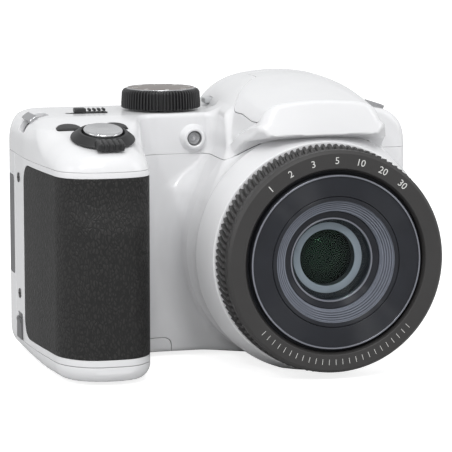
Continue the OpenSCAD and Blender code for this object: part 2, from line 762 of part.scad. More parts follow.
module side_screws() color("dimgray") for (z = screw_heights) difference() {
    union() {
        bar_x(screw_y, z, screw_r, screw_x, screw_x + screw_head);
        bar_x(screw_y, z, screw_r - 0.5, screw_x + screw_head, screw_x + screw_len);
    }
    box([-body_left, screw_y - 0.9, z - 0.2], [-body_left + 0.8, screw_y + 0.9, z + 0.2]);
}
module base_screws() color("dimgray") for (p = base_screw_at) difference() {
    translate([p[0], p[1], 0.4]) cylinder(h = 2.2, r = screw_r);
    box([p[0] - 0.9, p[1] - 0.2, 0], [p[0] + 0.9, p[1] + 0.2, 0.8]);
}

// Pop-up flash
module lid_skin(d_out, d_in) difference() {
    intersection() {
        hump_form(d_out);
        along_z(lid_plan(lid_front + 0.4 + lid_swing_gap), well_floor + 2, far);
    }
    hump_form(d_in);
}
module flash_lid() color("white") difference() {
    union() {
        lid_skin(0, lid_t);
        for (s = [-1, 1]) flash_knuckle(s);
    }
    box([-flash_knuckle_half - free, flash_hinge_y - flash_knuckle_r - free, flash_hinge_h - 4],
        [flash_knuckle_half + free, far, far]);
    bar_x(flash_hinge_y, flash_hinge_h, flash_pin_r + run, -far, far);
}
module flash_knuckle(s) {
    near = flash_knuckle_half + free;
    mid = s * (near + flash_hinge_half) / 2;
    half = (flash_hinge_half - near) / 2;
    bar_x(flash_hinge_y, flash_hinge_h, flash_knuckle_r, mid - half, mid + half);
}
module flash_well() color([0.13, 0.13, 0.14]) difference() {
    union() {
        difference() {
            box([-well_half_w, lid_front - 0.4, well_floor], [well_half_w, flash_hinge_y + 3, well_top]);
            box([-well_half_w + well_wall, lid_front - 0.4 + well_wall, well_floor + well_wall],
                [well_half_w - well_wall, flash_hinge_y + 3 - well_wall, far]);
        }
        // Fixed middle knuckle of the lid hinge
        box([-flash_knuckle_half, flash_hinge_y - 1.2, well_floor],
            [flash_knuckle_half, flash_hinge_y + 1.2, flash_hinge_h]);
        bar_x(flash_hinge_y, flash_hinge_h, flash_knuckle_r, -flash_knuckle_half, flash_knuckle_half);
    }
    bar_x(flash_hinge_y, flash_hinge_h, flash_pin_r + run / 2, -far, far);
}
module flash_hinge_pin() color("silver")
    bar_x(flash_hinge_y, flash_hinge_h, flash_pin_r, -flash_hinge_half + 0.3, flash_hinge_half - 0.3);
module door_hinge_pin() color("silver")
    bar_y(-door_hinge_x, door_hinge_h, door_pin_r, door_mid - door_knuckle_half - free - ear_len,
        door_mid + door_knuckle_half + free + ear_len);
head_half_w = 14.5;
head_low = well_floor + well_wall + 0.5;
head_drop = 2.2;
head_run = 4.4;
head_front = [lid_front + 1, lid_front_h - head_drop];
head_foot = [head_front[0] + head_run, head_low];
module flash_head() color([0.15, 0.15, 0.16]) difference() {
    intersection() {
        along_x([
            [head_front[0], head_front[1], 0], [head_foot[0], head_foot[1], 0], [wall_y - 2, head_low, 0],
            [wall_y - 2, far, 0], [head_front[0], far, 0]
        ], -head_half_w, head_half_w);
        hump_form(lid_t + fit / 2);
    }
    flash_window_form(0.9 + fit / 2, fit / 2);
}
// Flat diffuser let into the sloping face of the flash head, facing ahead when the lid is up
module flash_window_form(t, grow) {
    run_v = unit(head_foot - head_front);
    in_v = left_of(run_v);
    a = head_front + run_v * 0.9;
    b = head_foot - run_v * 0.9;
    along_x([
        [a[0] - in_v[0] * grow, a[1] - in_v[1] * grow, 0], [b[0] - in_v[0] * grow, b[1] - in_v[1] * grow, 0],
        [b[0] + in_v[0] * t, b[1] + in_v[1] * t, 0], [a[0] + in_v[0] * t, a[1] + in_v[1] * t, 0]
    ], -head_half_w + 1.2 - grow, head_half_w - 1.2 + grow);
}
module flash_window() color([0.9, 0.9, 0.85]) flash_window_form(0.9, 0);
module flash_release() color("gray") {
    outer = release_half + release_lip;
    box([release_x, release_at[0] - release_half[0], release_at[1] - release_half[1]],
        [release_stop[0], release_at[0] + release_half[0], release_at[1] + release_half[1]]);
    box([release_stop[0], release_at[0] - outer[0], release_at[1] - outer[1]],
        [release_stop[1], release_at[0] + outer[0], release_at[1] + outer[1]]);
}

// Controls
module mode_dial() color([0.15, 0.15, 0.15]) translate([-dial_x, 0, shoulder_h + dial_gap]) difference() {
    union() {
        linear_extrude(dial_h - 0.8) toothed(dial_flutes, dial_r - 0.5, dial_r);
        translate([0, 0, dial_h - 0.8]) cylinder(h = 0.8, r1 = dial_r - 0.5, r2 = dial_r - 1.2);
        translate([0, 0, -6]) cylinder(h = 6.5, r = dial_shaft_r);
    }
    translate([0, 0, dial_h - 0.4]) cylinder(h = over, r = dial_r - 1.6 + fit / 2);
}
module dial_cap() color([0.35, 0.3, 0.28])
    translate([-dial_x, 0, shoulder_h + dial_gap + dial_h - 0.4 + fit / 2])
        rotate_extrude()
            polygon([[0, 0], [dial_r - 1.6, 0], [dial_r - 1.6, 0.4], [dial_r - 2.2, 0.6], [0, 0.7]]);
module zoom_lever() color([0.16, 0.16, 0.16]) on_slope(-shutter_x, shutter_ahead) difference() {
    union() {
        rotate_extrude() polygon([
            [hub_bore, -3.5], [hub_r, -3.5], [hub_r, dial_gap], [lever_r, dial_gap], [lever_r, 1.1],
            [shutter_r + 0.9, lever_top], [shutter_r + free, lever_top], [shutter_r + free, lever_ledge],
            [hub_bore, lever_ledge]
        ]);
        // Ridged finger tab
        difference() {
            box([-3.8, -lever_r - 2.2, 0.6], [3.8, -shutter_r - 1.2, lever_top]);
            for (k = [-2:2]) box([k * 1.5 - 0.35, -lever_r - 3, lever_top - 0.5],
                [k * 1.5 + 0.35, -lever_r + 1.2, lever_top + over]);
        }
    }
    translate([0, 0, lever_ledge]) cylinder(h = 10, r = shutter_r + free);
}
module shutter_button() color("silver") on_slope(-shutter_x, shutter_ahead) rotate_extrude() polygon(concat(
    [[0, -4.5], [hub_bore - run, -4.5], [hub_bore - run, lever_ledge + shutter_travel + 0.2],
        [shutter_r, lever_ledge + shutter_travel + 0.2], [shutter_r, shutter_out - 0.5]],
    [for (k = [5:-1:0]) [(shutter_r - 0.4) * k / 5, shutter_out - 0.1 - 0.35 * (1 - pow(k / 5, 2))]]
));
module top_button(x) on_slope(x, button_ahead) rotate_extrude() polygon([
    [0, -button_depth], [top_button_r + button_flange, -button_depth],
    [top_button_r + button_flange, -wall - 0.2], [top_button_r, -wall - 0.2],
    [top_button_r, 0.5], [top_button_r - 0.5, 0.8], [0, 1]
]);
module top_button_left() color([0.2, 0.2, 0.2]) top_button(button_left_x);
module top_button_right() color([0.2, 0.2, 0.2]) top_button(button_right_x);
module power_switch() color([0.15, 0.15, 0.15]) {
    low = shoulder_h - switch_recess + 0.15;
    box([switch_x - switch_len / 2, switch_y - switch_half_w, low],
        [switch_x + switch_len / 2, switch_y + switch_half_w, shoulder_h + 0.3]);
    box([switch_x - switch_len / 2, switch_y - switch_half_w, low],
        [switch_x - switch_len / 2 + 3.3, switch_y + switch_half_w, shoulder_h + 1.3]);
    for (k = [0:3]) bar_y(switch_x + 0.2 + k * 1.2, shoulder_h + 0.3, 0.4, switch_y - switch_half_w,
        switch_y + switch_half_w);
    box([switch_x - 2, switch_y - 1, shoulder_h - 2.6], [switch_x + 2, switch_y + 1, low]);
}
module rear_key(p, r) {
    bar_y(p[0], p[1], r, rear_in - 0.2, body_back + key_out);
    bar_y(p[0], p[1], r + key_flange, rear_in - 0.2 - flange_t, rear_in - 0.2);
}
module record_button() color("firebrick") rear_key(record_at, rear_button_r);
module menu_button() color("gainsboro") rear_key(menu_at, rear_button_r);
module play_button() color("gainsboro") rear_key(play_at, rear_button_r);
module delete_button() color("gainsboro") rear_key(delete_at, rear_button_r);
module four_way_pad() color("gainsboro") difference() {
    rear_key([key_x, pad_z], pad_r);
    bar_y(key_x, pad_z, set_r + free, -far, far);
}
module set_button() color("gainsboro") {
    bar_y(key_x, pad_z, set_r, rear_in - 0.9, body_back + key_out + 0.2);
}
// Latch plate in its recess, with a finger ridge outside and a keeper inside the wall
latch_face = -body_left + 0.2;
module battery_latch() color("gray") {
    keeper_x = -body_left + wall + fit;
    ridge_half = latch_half_y - 0.6;
    top = latch_z + latch_half_z;
    box([latch_face, latch_y - latch_half_y, latch_z - latch_half_z],
        [latch_face + latch_plate, latch_y + latch_half_y, top]);
    box([latch_face - 0.2, latch_y - ridge_half, top - 1.2], [latch_face, latch_y + ridge_half, top - 0.4]);
    box([latch_face + latch_plate, latch_y - stem_half[0], latch_z - stem_half[1]],
        [keeper_x, latch_y + stem_half[0], latch_z + stem_half[1]]);
    box([keeper_x, latch_y - 2 * stem_half[0], latch_z - 2],
        [keeper_x + 0.8, latch_y + 2 * stem_half[0], latch_z + 2]);
}
module latch_slot() {
    raised = latch_travel + free;
    box([-body_left - over, latch_y - latch_half_y - fit, door_h - over],
        [latch_face + latch_plate + fit, latch_y + latch_half_y + fit, latch_z + latch_half_z + raised]);
    box([-body_left, latch_y - stem_half[0] - fit, latch_z - stem_half[1] - fit],
        [-body_left + wall + over, latch_y + stem_half[0] + fit, latch_z + stem_half[1] + raised]);
}
// The free edge of the port cover is rounded about its hinge, so that it clears the opening.
module port_cover() color("gray") difference() {
    intersection() {
        body_form(0);
        port_zone(0);
        translate([-body_left, port_front, 0]) cylinder(h = far, r = port_back - port_front);
    }
    body_form(port_t);
    // Thumb notch at the top
    bar_x(port_back - 3, port_high, 1.5, -body_left - over, -body_left + 0.6);
}

front_cover();
rear_cover();
top_cover();
grip_skin();
lens_ring();
lens_barrel();
sensor_board();
zoom_motor();
main_board();
chassis();
battery_bay();
battery_cells();
battery_springs();
flash_well();
flash_capacitor();
screen_module();
screen_window();
strap_lugs();
focus_lamp();
microphone();
tripod_socket();
side_screws();
base_screws();
flash_hinge_pin();
door_hinge_pin();
key_board();
port_block();
zoom_tube();
front_tube();
front_baffle();
lens_retainer();
front_glass();
rear_lens();
mode_dial();
dial_cap();
zoom_lever();
shutter_button();
top_button_left();
top_button_right();
power_switch();
flash_lid();
flash_head();
flash_window();
flash_release();
battery_door();
door_contacts();
battery_latch();
port_cover();
record_button();
menu_button();
play_button();
delete_button();
four_way_pad();
set_button();
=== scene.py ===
"""Looks of a white bridge camera: housing, lens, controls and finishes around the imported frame."""
import math

import bmesh
import bpy
import numpy as np
from mathutils import Matrix, Vector


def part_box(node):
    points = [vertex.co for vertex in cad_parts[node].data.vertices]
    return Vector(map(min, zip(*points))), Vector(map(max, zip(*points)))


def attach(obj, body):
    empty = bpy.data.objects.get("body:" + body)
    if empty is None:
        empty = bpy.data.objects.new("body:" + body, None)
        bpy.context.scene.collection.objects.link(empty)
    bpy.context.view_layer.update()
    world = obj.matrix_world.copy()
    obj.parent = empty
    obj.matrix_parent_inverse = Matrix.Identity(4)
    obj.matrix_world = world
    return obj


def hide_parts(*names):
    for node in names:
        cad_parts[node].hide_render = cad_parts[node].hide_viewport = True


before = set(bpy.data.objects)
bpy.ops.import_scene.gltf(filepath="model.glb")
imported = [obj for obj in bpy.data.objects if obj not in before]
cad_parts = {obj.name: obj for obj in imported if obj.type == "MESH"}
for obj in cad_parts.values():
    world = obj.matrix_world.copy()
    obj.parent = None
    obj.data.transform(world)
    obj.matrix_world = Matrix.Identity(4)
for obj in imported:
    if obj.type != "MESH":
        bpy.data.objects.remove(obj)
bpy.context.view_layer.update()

MM = 0.001


def node_box(name):
    """Lowest and highest corner of a CAD node in millimetres."""
    low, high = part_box(name)
    return np.array(low) / MM, np.array(high) / MM


# Sizes in millimetres that the frame gives
SEAM_GAP = 0.2
SIDE_SWELL = 1.0
HUMP_SWELL = 0.9
LEFT, NOSE_Y, _ = node_box("front_cover")[0]
RIGHT, BACK_Y, SEAM_Z = node_box("rear_cover")[1] + (SIDE_SWELL, 0, SEAM_GAP / 2)
SPLIT_Y = node_box("rear_cover")[0][1] - SEAM_GAP / 2
HUMP_Z = node_box("top_cover")[1][2] + HUMP_SWELL
DOOR_Z = node_box("battery_door")[1][2] + SEAM_GAP / 2
DOOR_X = node_box("battery_door")[1][0]
DOOR_BACK_Y = node_box("battery_door")[1][1] + SEAM_GAP / 2
RING_Y = node_box("lens_ring")[0][1]
RING_BACK_Y = node_box("lens_ring")[1][1]
LENS_Z = (node_box("lens_ring")[0][2] + node_box("lens_ring")[1][2]) / 2

# Sizes in millimetres that are read from the photograph
WALL_Y = -12.0
SHOULDER_Z = 71.5
SLOPE = math.radians(13)
GRIP_INNER_X = -50.5
GRIP_VALLEY_X = -46.0
CREASE_Y = -36.4
COLLAR_R = 34.9
BROW_Y = -46.8
BROW_Z = 67.2
BROW_TOP = (-43.4, 76.6)
UNDER_RISE = 0.23
UNDER_BEND = (-32.7, 63.96)
HOOD_TAPER = 0.0067
LIP_OUT = 0.8
LIP_H = 3.8
SHELL_T = 1.6
STEP = 0.75
EDGE = 0.14
RIM_DROP = 1 - math.sqrt(1 - 0.38 ** 2)
GAP = 0.14


class Outline:
    """Closed outline of straight sides and rounded corners [a, b, radius], counter-clockwise."""

    def __init__(self, corners):
        points = np.array([c[:2] for c in corners], float)
        count = len(points)
        ahead = np.roll(points, -1, 0) - points
        ahead /= np.linalg.norm(ahead, axis=1)[:, None]
        trims = []
        self.arcs = []
        for i, (_, _, r) in enumerate(corners):
            u, w = ahead[i - 1], ahead[i]
            turn = math.atan2(u[0] * w[1] - u[1] * w[0], u @ w)
            trim = r * math.tan(abs(turn) / 2)
            trims.append(trim)
            if r == 0:
                continue
            side = math.copysign(1, turn)
            centre = points[i] - u * trim + side * r * np.array([-u[1], u[0]])
            middle = points[i] - centre
            self.arcs.append((centre, r, side, middle / np.linalg.norm(middle), math.cos(turn / 2)))
        self.sides = []
        for i in range(count):
            j = (i + 1) % count
            start = points[i] + ahead[i] * trims[i]
            length = (points[j] - ahead[i] * trims[j] - start) @ ahead[i]
            self.sides.append((start, ahead[i], length))

    def __call__(self, a, b):
        """Signed distance, negative inside."""
        best = np.full(np.broadcast_shapes(np.shape(a), np.shape(b)), 1e9)
        for start, way, length in self.sides:
            da, db = a - start[0], b - start[1]
            t = np.clip(da * way[0] + db * way[1], 0, length)
            d = np.hypot(da - t * way[0], db - t * way[1])
            d = np.copysign(d, way[1] * da - way[0] * db)
            best = np.where(np.abs(d) < np.abs(best), d, best)
        for centre, r, side, middle, span in self.arcs:
            da, db = a - centre[0], b - centre[1]
            far = np.hypot(da, db)
            d = side * (far - r)
            near = (da * middle[0] + db * middle[1] >= far * span) & (np.abs(d) < np.abs(best))
            best = np.where(near, d, best)
        return best


def panel(a0, b0, a1, b1, r):
    """Outline of a rectangle with round corners."""
    return Outline([(a0, b0, r), (a1, b0, r), (a1, b1, r), (a0, b1, r)])


def smooth(t):
    """Smooth step from 0 to 1."""
    t = np.clip(t, 0, 1)
    return t * t * (3 - 2 * t)


def meet(a, b, r):
    """Intersection of two fields with a round edge."""
    return np.minimum(np.maximum(a, b), -r) + np.hypot(np.maximum(a + r, 0), np.maximum(b + r, 0))


def join(a, b, r):
    """Union of two fields with a fillet."""
    return np.maximum(np.minimum(a, b), r) - np.hypot(np.maximum(r - a, 0), np.maximum(r - b, 0))


def eased(t, r):
    """Zero below zero and t above it, with a soft bend."""
    return np.where(t < -r, 0, np.where(t > r, t, (t + r) ** 2 / (4 * r)))


# Outer form of the housing
BODY_EDGE = 2.2
WALL_EDGE = 1.3
GRIP_EDGE = 5.4
FOOT_R = 4.4
plan = Outline([
    (RIGHT, WALL_Y, 3.5), (RIGHT, BACK_Y, 8), (LEFT, BACK_Y, 6.5), (LEFT, WALL_Y + 2, 40),
    (LEFT + 5, NOSE_Y, 13.5), (GRIP_INNER_X, NOSE_Y, 10.5), (GRIP_VALLEY_X, WALL_Y, 7),
])
elevation = Outline([(LEFT, 0, 7), (RIGHT, 0, 4), (RIGHT, SHOULDER_Z, 12.5), (LEFT, SHOULDER_Z, 10)])
profile = Outline([
    (NOSE_Y, 0, 2.5), (BACK_Y, 0, 3), (BACK_Y, SHOULDER_Z, 4), (WALL_Y, SHOULDER_Z, 12),
    (NOSE_Y, SHOULDER_Z + (NOSE_Y - WALL_Y) * math.tan(SLOPE), 7),
])
hood_elevation = Outline([
    (-24.1, 44, 1), (24.1, 44, 1), (23.3, 65.7, 6), (18, 79.2, 17), (0, HUMP_Z + 0.3, 40), (-18, 79.2, 17),
    (-23.3, 65.7, 6),
])
hood_profile = Outline([
    (-57, 40, 1), (BACK_Y - 1, 40, 1), (BACK_Y - 1, SHOULDER_Z - 3, 6), (12, HUMP_Z, 10), (-8, HUMP_Z, 40),
    (*BROW_TOP, 1.5),
])
hood_under = Outline([
    (-60, BROW_Z - UNDER_RISE * (-60 - BROW_Y), 0), (*UNDER_BEND, 20), (-22.5, 51.7, 5), (-20, 30, 1),
    (60, 30, 1), (60, 120, 1), (-60, 120, 1),
])
flank = Outline([(-31, 44, 3), (31, 44, 3), (23.2, 62, 6), (22.4, 72.5, 3), (-22.4, 72.5, 3), (-23.2, 62, 6)])
CROWN = 0.0060
BOW = 0.0025
WING = np.array([0.72, 0.586, 0.37])
WING_AT = np.array([14.9, -46.8, 67.0])


def body_field(x, y, z):
    """Body with the grip, whose top edges are rounder than the others."""
    edge = WALL_EDGE + GRIP_EDGE * smooth((WALL_Y - 4 - y) / 16) * smooth((z - 40) / 12)
    d = meet(meet(plan(x, y), profile(y, z), edge), elevation(x, z), BODY_EDGE)
    foot = 1 + (FOOT_R - 1) * smooth((WALL_Y - 1 - y) / 8)
    return np.maximum(d, meet(plan(x, y), -z, foot))


def shield_field(x, y, z):
    """Collar behind the lens ring and the flanks that rise from it to the hood."""
    hollow = np.clip(1 - ((y + 31) / 5.4) ** 2, 0, 1)
    ring = np.hypot(x, z - LENS_Z) - COLLAR_R + 0.1 + 0.45 * hollow
    collar = meet(ring, CREASE_Y - y, 0.5)
    slope = (-29 + 0.62 * (z - 59.5) - y) / math.hypot(1, 0.62)
    return np.maximum(join(collar, meet(flank(x, z), slope, 1.3), 2.5), y + 6)


def hood_field(x, y, z):
    """Flash hump with the hood that reaches out over the lens, which has a lip along its lower edge."""
    narrow = 1 - HOOD_TAPER * eased(-16 - y, 6)
    under = hood_under(y, z)
    side = narrow * hood_elevation(x / narrow, z) - LIP_OUT * smooth((LIP_H + 0.5 + under) / 1.0)
    top = hood_profile(y - BOW * x * x, z + CROWN * x * x)
    wing = WING[0] * (np.abs(x) - WING_AT[0]) - WING[1] * (y - WING_AT[1]) - WING[2] * (z - WING_AT[2])
    return meet(meet(meet(top, side, 2.0), wing, 0.6), under, 0.5)


def outer_field(x, y, z):
    """Signed field of the whole white housing, negative inside."""
    fillet = 8 - 5 * smooth((z - 48) / 10)
    d = join(body_field(x, y, z), shield_field(x, y, z), fillet)
    d = join(d, hood_field(x, y, z), 1.2)
    return meet(meet(d, -z, 1.0), x - RIGHT, 1.6)


def gradient(field, points, reach=0.05):
    """Slope of a field at points, by central differences."""
    slope = np.empty_like(points)
    for axis in range(3):
        shift = np.zeros(3)
        shift[axis] = reach
        slope[:, axis] = field(*(points + shift).T) - field(*(points - shift).T)
    return slope / (2 * reach)


def unit(v):
    return v / np.maximum(np.linalg.norm(v, axis=-1, keepdims=True), 1e-9)


def onto(field, points, rounds=3):
    """Points moved onto the zero surface of a field."""
    for _ in range(rounds):
        slope = gradient(field, points)
        size = np.maximum((slope * slope).sum(1), 0.05)
        points = points - (field(*points.T) / size)[:, None] * slope
    return points


def surface_net(field, low, high, step):
    """Vertices and triangles of the zero surface of a field inside a box."""
    axes = [np.arange(a - 2 * step, b + 3 * step, step) for a, b in zip(low, high)]
    values = field(axes[0][:, None, None], axes[1][None, :, None], axes[2][None, None, :])
    inside = values < 0
    corners = [(i, j, k) for i in (0, 1) for j in (0, 1) for k in (0, 1)]
    size = np.array(values.shape) - 1
    count = sum(inside[i:i + size[0], j:j + size[1], k:k + size[2]].astype(np.int8) for i, j, k in corners)
    cells = np.argwhere((count > 0) & (count < 8))
    number = np.full(size, -1)
    number[tuple(cells.T)] = np.arange(len(cells))
    at = np.array([values[tuple((cells + c).T)] for c in corners])
    total = np.zeros((len(cells), 3))
    hits = np.zeros(len(cells))
    for a, ca in enumerate(corners):
        for b, cb in enumerate(corners):
            if b > a and sum(abs(p - q) for p, q in zip(ca, cb)) == 1:
                cross = (at[a] < 0) != (at[b] < 0)
                share = at[a][cross] / (at[a][cross] - at[b][cross])
                total[cross] += np.array(ca) + share[:, None] * (np.array(cb) - np.array(ca))
                hits[cross] += 1
    points = np.array([ax[0] for ax in axes]) + step * (cells + total / hits[:, None])
    quads = []
    for axis in range(3):
        u, v = (axis + 1) % 3, (axis + 2) % 3
        near = np.take(inside, range(size[axis]), axis)
        flips = near != np.take(inside, range(1, size[axis] + 1), axis)
        edges = np.argwhere(flips)
        edges = edges[np.all((edges[:, [u, v]] > 0) & (edges[:, [u, v]] < size[[u, v]]), axis=1)]
        around = []
        for du, dv in ((-1, -1), (0, -1), (0, 0), (-1, 0)):
            cell = edges.copy()
            cell[:, u] += du
            cell[:, v] += dv
            around.append(number[tuple(cell.T)])
        quad = np.array(around).T
        outward = near[tuple(edges.T)]
        quads.append(np.where(outward[:, None], quad, quad[:, ::-1]))
    quads = np.concatenate(quads)
    points = onto(field, points)
    a, b, c, d = quads.T
    short = np.linalg.norm(points[a] - points[c], axis=1) < np.linalg.norm(points[b] - points[d], axis=1)
    first = np.where(short[:, None], quads[:, [0, 1, 2]], quads[:, [0, 1, 3]])
    second = np.where(short[:, None], quads[:, [0, 2, 3]], quads[:, [1, 2, 3]])
    return points, np.concatenate([first, second])


def along(field, cut, points, rounds=3):
    """Points slid along the surface of a field until a cutting field is zero there."""
    for _ in range(rounds):
        normal = unit(gradient(field, points))
        slope = gradient(cut, points)
        slope -= (slope * normal).sum(1)[:, None] * normal
        size = np.maximum((slope * slope).sum(1), 0.02)
        points = points - np.clip(cut(*points.T) / size, -1, 1)[:, None] * slope
        points = points - field(*points.T)[:, None] * normal
    return points


def trimmed(mesh, cut):
    """The part of a mesh where the cutting field is negative, with a clean edge along its zero line."""
    points, triangles = mesh
    value = cut(*points.T)
    used = np.unique(triangles)
    near = used[np.abs(value[used]) < 0.18 * STEP]
    near = np.setdiff1d(near, open_edges(triangles).ravel())
    if len(near):
        points = points.copy()
        points[near] = along(outer_field, cut, points[near])
        value[near] = 0
    sign = np.sign(value)[triangles]
    keep = triangles[np.all(sign <= 0, 1) & np.any(sign < 0, 1)]
    mixed = triangles[np.any(sign < 0, 1) & np.any(sign > 0, 1)]
    made, starts, ends, added = {}, [], [], []

    def crossing(p, q):
        key = (min(p, q), max(p, q))
        if key not in made:
            made[key] = len(points) + len(made)
            starts.append(key[0])
            ends.append(key[1])
        return made[key]

    for triangle in mixed.tolist():
        ring = []
        for p, q in zip(triangle, triangle[1:] + triangle[:1]):
            if value[p] <= 0:
                ring.append(p)
            if value[p] * value[q] < 0:
                ring.append(crossing(p, q))
        added.extend((ring[0], ring[i], ring[i + 1]) for i in range(1, len(ring) - 1))
    if made:
        share = (value[starts] / (value[starts] - value[ends]))[:, None]
        fresh = points[starts] + share * (points[ends] - points[starts])
        points = np.concatenate([points, along(outer_field, cut, fresh)])
        keep = np.concatenate([keep, np.array(added)])
    used, flat = np.unique(keep, return_inverse=True)
    return points[used], flat.reshape(-1, 3)


def open_edges(triangles):
    """Directed edges that only one triangle has."""
    edges = np.concatenate([triangles[:, [0, 1]], triangles[:, [1, 2]], triangles[:, [2, 0]]])
    span = triangles.max() + 1
    key = edges.min(1) * span + edges.max(1)
    _, first, counts = np.unique(key, return_index=True, return_counts=True)
    return edges[first[counts == 1]]


def thickened(mesh, thickness):
    """Closed shell of a trimmed surface: outer face, rounded rim and inner face, with their normals."""
    points, triangles = mesh
    normals = unit(gradient(outer_field, points))
    rim = open_edges(triangles)
    way = unit(points[rim[:, 1]] - points[rim[:, 0]])
    out = np.cross(way, normals[rim[:, 0]])
    sideways = np.zeros_like(points)
    np.add.at(sideways, rim[:, 0], out)
    np.add.at(sideways, rim[:, 1], out)
    ring = np.unique(rim)
    n, t, base = normals[ring], unit(sideways[ring]), points[ring]
    a, b = np.searchsorted(ring, rim.T)
    all_points, all_normals, faces = [points], [normals], [triangles]
    last = ring
    total = len(points)

    def close(to_a, to_b):
        """Triangles from the last ring of points to the next."""
        faces.append(np.stack([last[b], last[a], to_a], 1))
        faces.append(np.stack([last[b], to_a, to_b], 1))

    # Each level of the rim: reach sideways, depth below the face and lean of the normal
    for reach, depth, lean in ((0.38, RIM_DROP, 0.38), (1.0, 1.0, 1.0), (1.0, thickness / EDGE, 1.0)):
        all_points.append(base + EDGE * (reach * t - depth * n))
        all_normals.append(unit((1 - lean) * n + lean * t + 1e-6 * n))
        index = total + np.arange(len(ring))
        close(index[a], index[b])
        last = index
        total += len(ring)
    all_points.append(points - thickness * normals)
    all_normals.append(-normals)
    faces.append(triangles[:, ::-1] + total)
    close(rim[:, 0] + total, rim[:, 1] + total)
    return np.concatenate(all_points), np.concatenate(all_normals), np.concatenate(faces)


# Making Blender objects
def new_object(name, points, faces, material, body, normals=None, sharp=None):
    """Mesh piece from points in millimetres, riding on a body."""
    mesh = bpy.data.meshes.new(name)
    mesh.from_pydata((np.asarray(points) * MM).tolist(), [], [list(map(int, f)) for f in faces])
    mesh.validate()
    mesh.polygons.foreach_set("use_smooth", [True] * len(mesh.polygons))
    if sharp is not None:
        mesh.set_sharp_from_angle(angle=math.radians(sharp))
    if normals is not None:
        mesh.normals_split_custom_set_from_vertices(np.asarray(normals).tolist())
    mesh.materials.append(material)
    piece = bpy.data.objects.new(name, mesh)
    bpy.context.scene.collection.objects.link(piece)
    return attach(piece, body)


def shell(name, cuts, material, body, node, thickness=SHELL_T):
    """White shell: the outer surface trimmed by cutting fields, given thickness."""
    mesh = OUTER
    for cut in cuts:
        mesh = trimmed(mesh, cut)
    points, normals, faces = thickened(mesh, thickness)
    piece = new_object(name, points, faces, material, body, normals)
    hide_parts(node)
    return piece


def rounded(corners, step=12):
    """Points of an open or closed run of corners [a, b, radius], with arcs at the corners."""
    points = []
    count = len(corners)
    for i, (a, b, r) in enumerate(corners):
        here = np.array([a, b], float)
        if r == 0:
            points.append(here)
            continue
        u = unit(here - np.array(corners[i - 1][:2], float))
        w = unit(np.array(corners[(i + 1) % count][:2], float) - here)
        turn = math.atan2(u[0] * w[1] - u[1] * w[0], u @ w)
        side = math.copysign(1, turn)
        start = here - u * r * math.tan(abs(turn) / 2)
        centre = start + side * r * np.array([-u[1], u[0]])
        steps = max(2, math.ceil(abs(math.degrees(turn)) / step))
        for k in range(steps + 1):
            s, c = math.sin(turn * k / steps), math.cos(turn * k / steps)
            v = start - centre
            points.append(centre + (v[0] * c - v[1] * s, v[0] * s + v[1] * c))
    return np.array(points)


def lens_place(points):
    """Local points (across, up, along) about the lens axis."""
    return np.stack([points[..., 0], points[..., 2], LENS_Z + points[..., 1]], -1)


def upright(x, y):
    """Placing function for pieces that stand on a vertical axis."""
    return lambda points: points + np.array([x, y, 0.0])


def sloped(x, y):
    """Placing function for pieces that stand square on the sloping grip top."""
    foot = np.array([x, y, SHOULDER_Z + (y - WALL_Y) * math.tan(SLOPE)])
    turn = np.array(Matrix.Rotation(SLOPE, 3, "X"))
    return lambda points: points @ turn.T + foot


def lathe(name, corners, material, body, place=lens_place, segments=144, sharp=32):
    """Solid of revolution of a closed outline [radius, along, corner radius]."""
    outline = rounded(corners)
    angle = np.linspace(0, 2 * math.pi, segments, endpoint=False)
    ring = np.stack([np.cos(angle), np.sin(angle)], -1)
    points = np.concatenate([
        outline[None, :, :1] * ring[:, None, :],
        np.broadcast_to(outline[None, :, 1:], (segments, len(outline), 1)),
    ], -1).reshape(-1, 3)
    count = len(outline)
    faces = []
    for s in range(segments):
        t = (s + 1) % segments
        for k in range(count):
            m = (k + 1) % count
            faces.append((s * count + k, t * count + k, t * count + m, s * count + m))
    piece = new_object(name, place(points), faces, material, body)
    tidy(piece, sharp)
    return piece


def tidy(piece, sharp):
    """Merge points that coincide, turn all faces outwards and mark sharp edges."""
    work = bmesh.new()
    work.from_mesh(piece.data)
    bmesh.ops.remove_doubles(work, verts=work.verts, dist=1e-7)
    bmesh.ops.dissolve_degenerate(work, edges=work.edges, dist=1e-7)
    bmesh.ops.recalc_face_normals(work, faces=work.faces)
    work.to_mesh(piece.data)
    work.free()
    piece.data.polygons.foreach_set("use_smooth", [True] * len(piece.data.polygons))
    piece.data.set_sharp_from_angle(angle=math.radians(sharp))


def strips(rows, loop=False):
    """Four-sided faces between neighbouring rings of points, given as rows of point numbers."""
    faces = []
    for low, high in zip(rows, rows[1:] + rows[:1] if loop else rows[1:]):
        faces += np.stack([low, np.roll(low, -1), np.roll(high, -1), high], 1).tolist()
    return faces


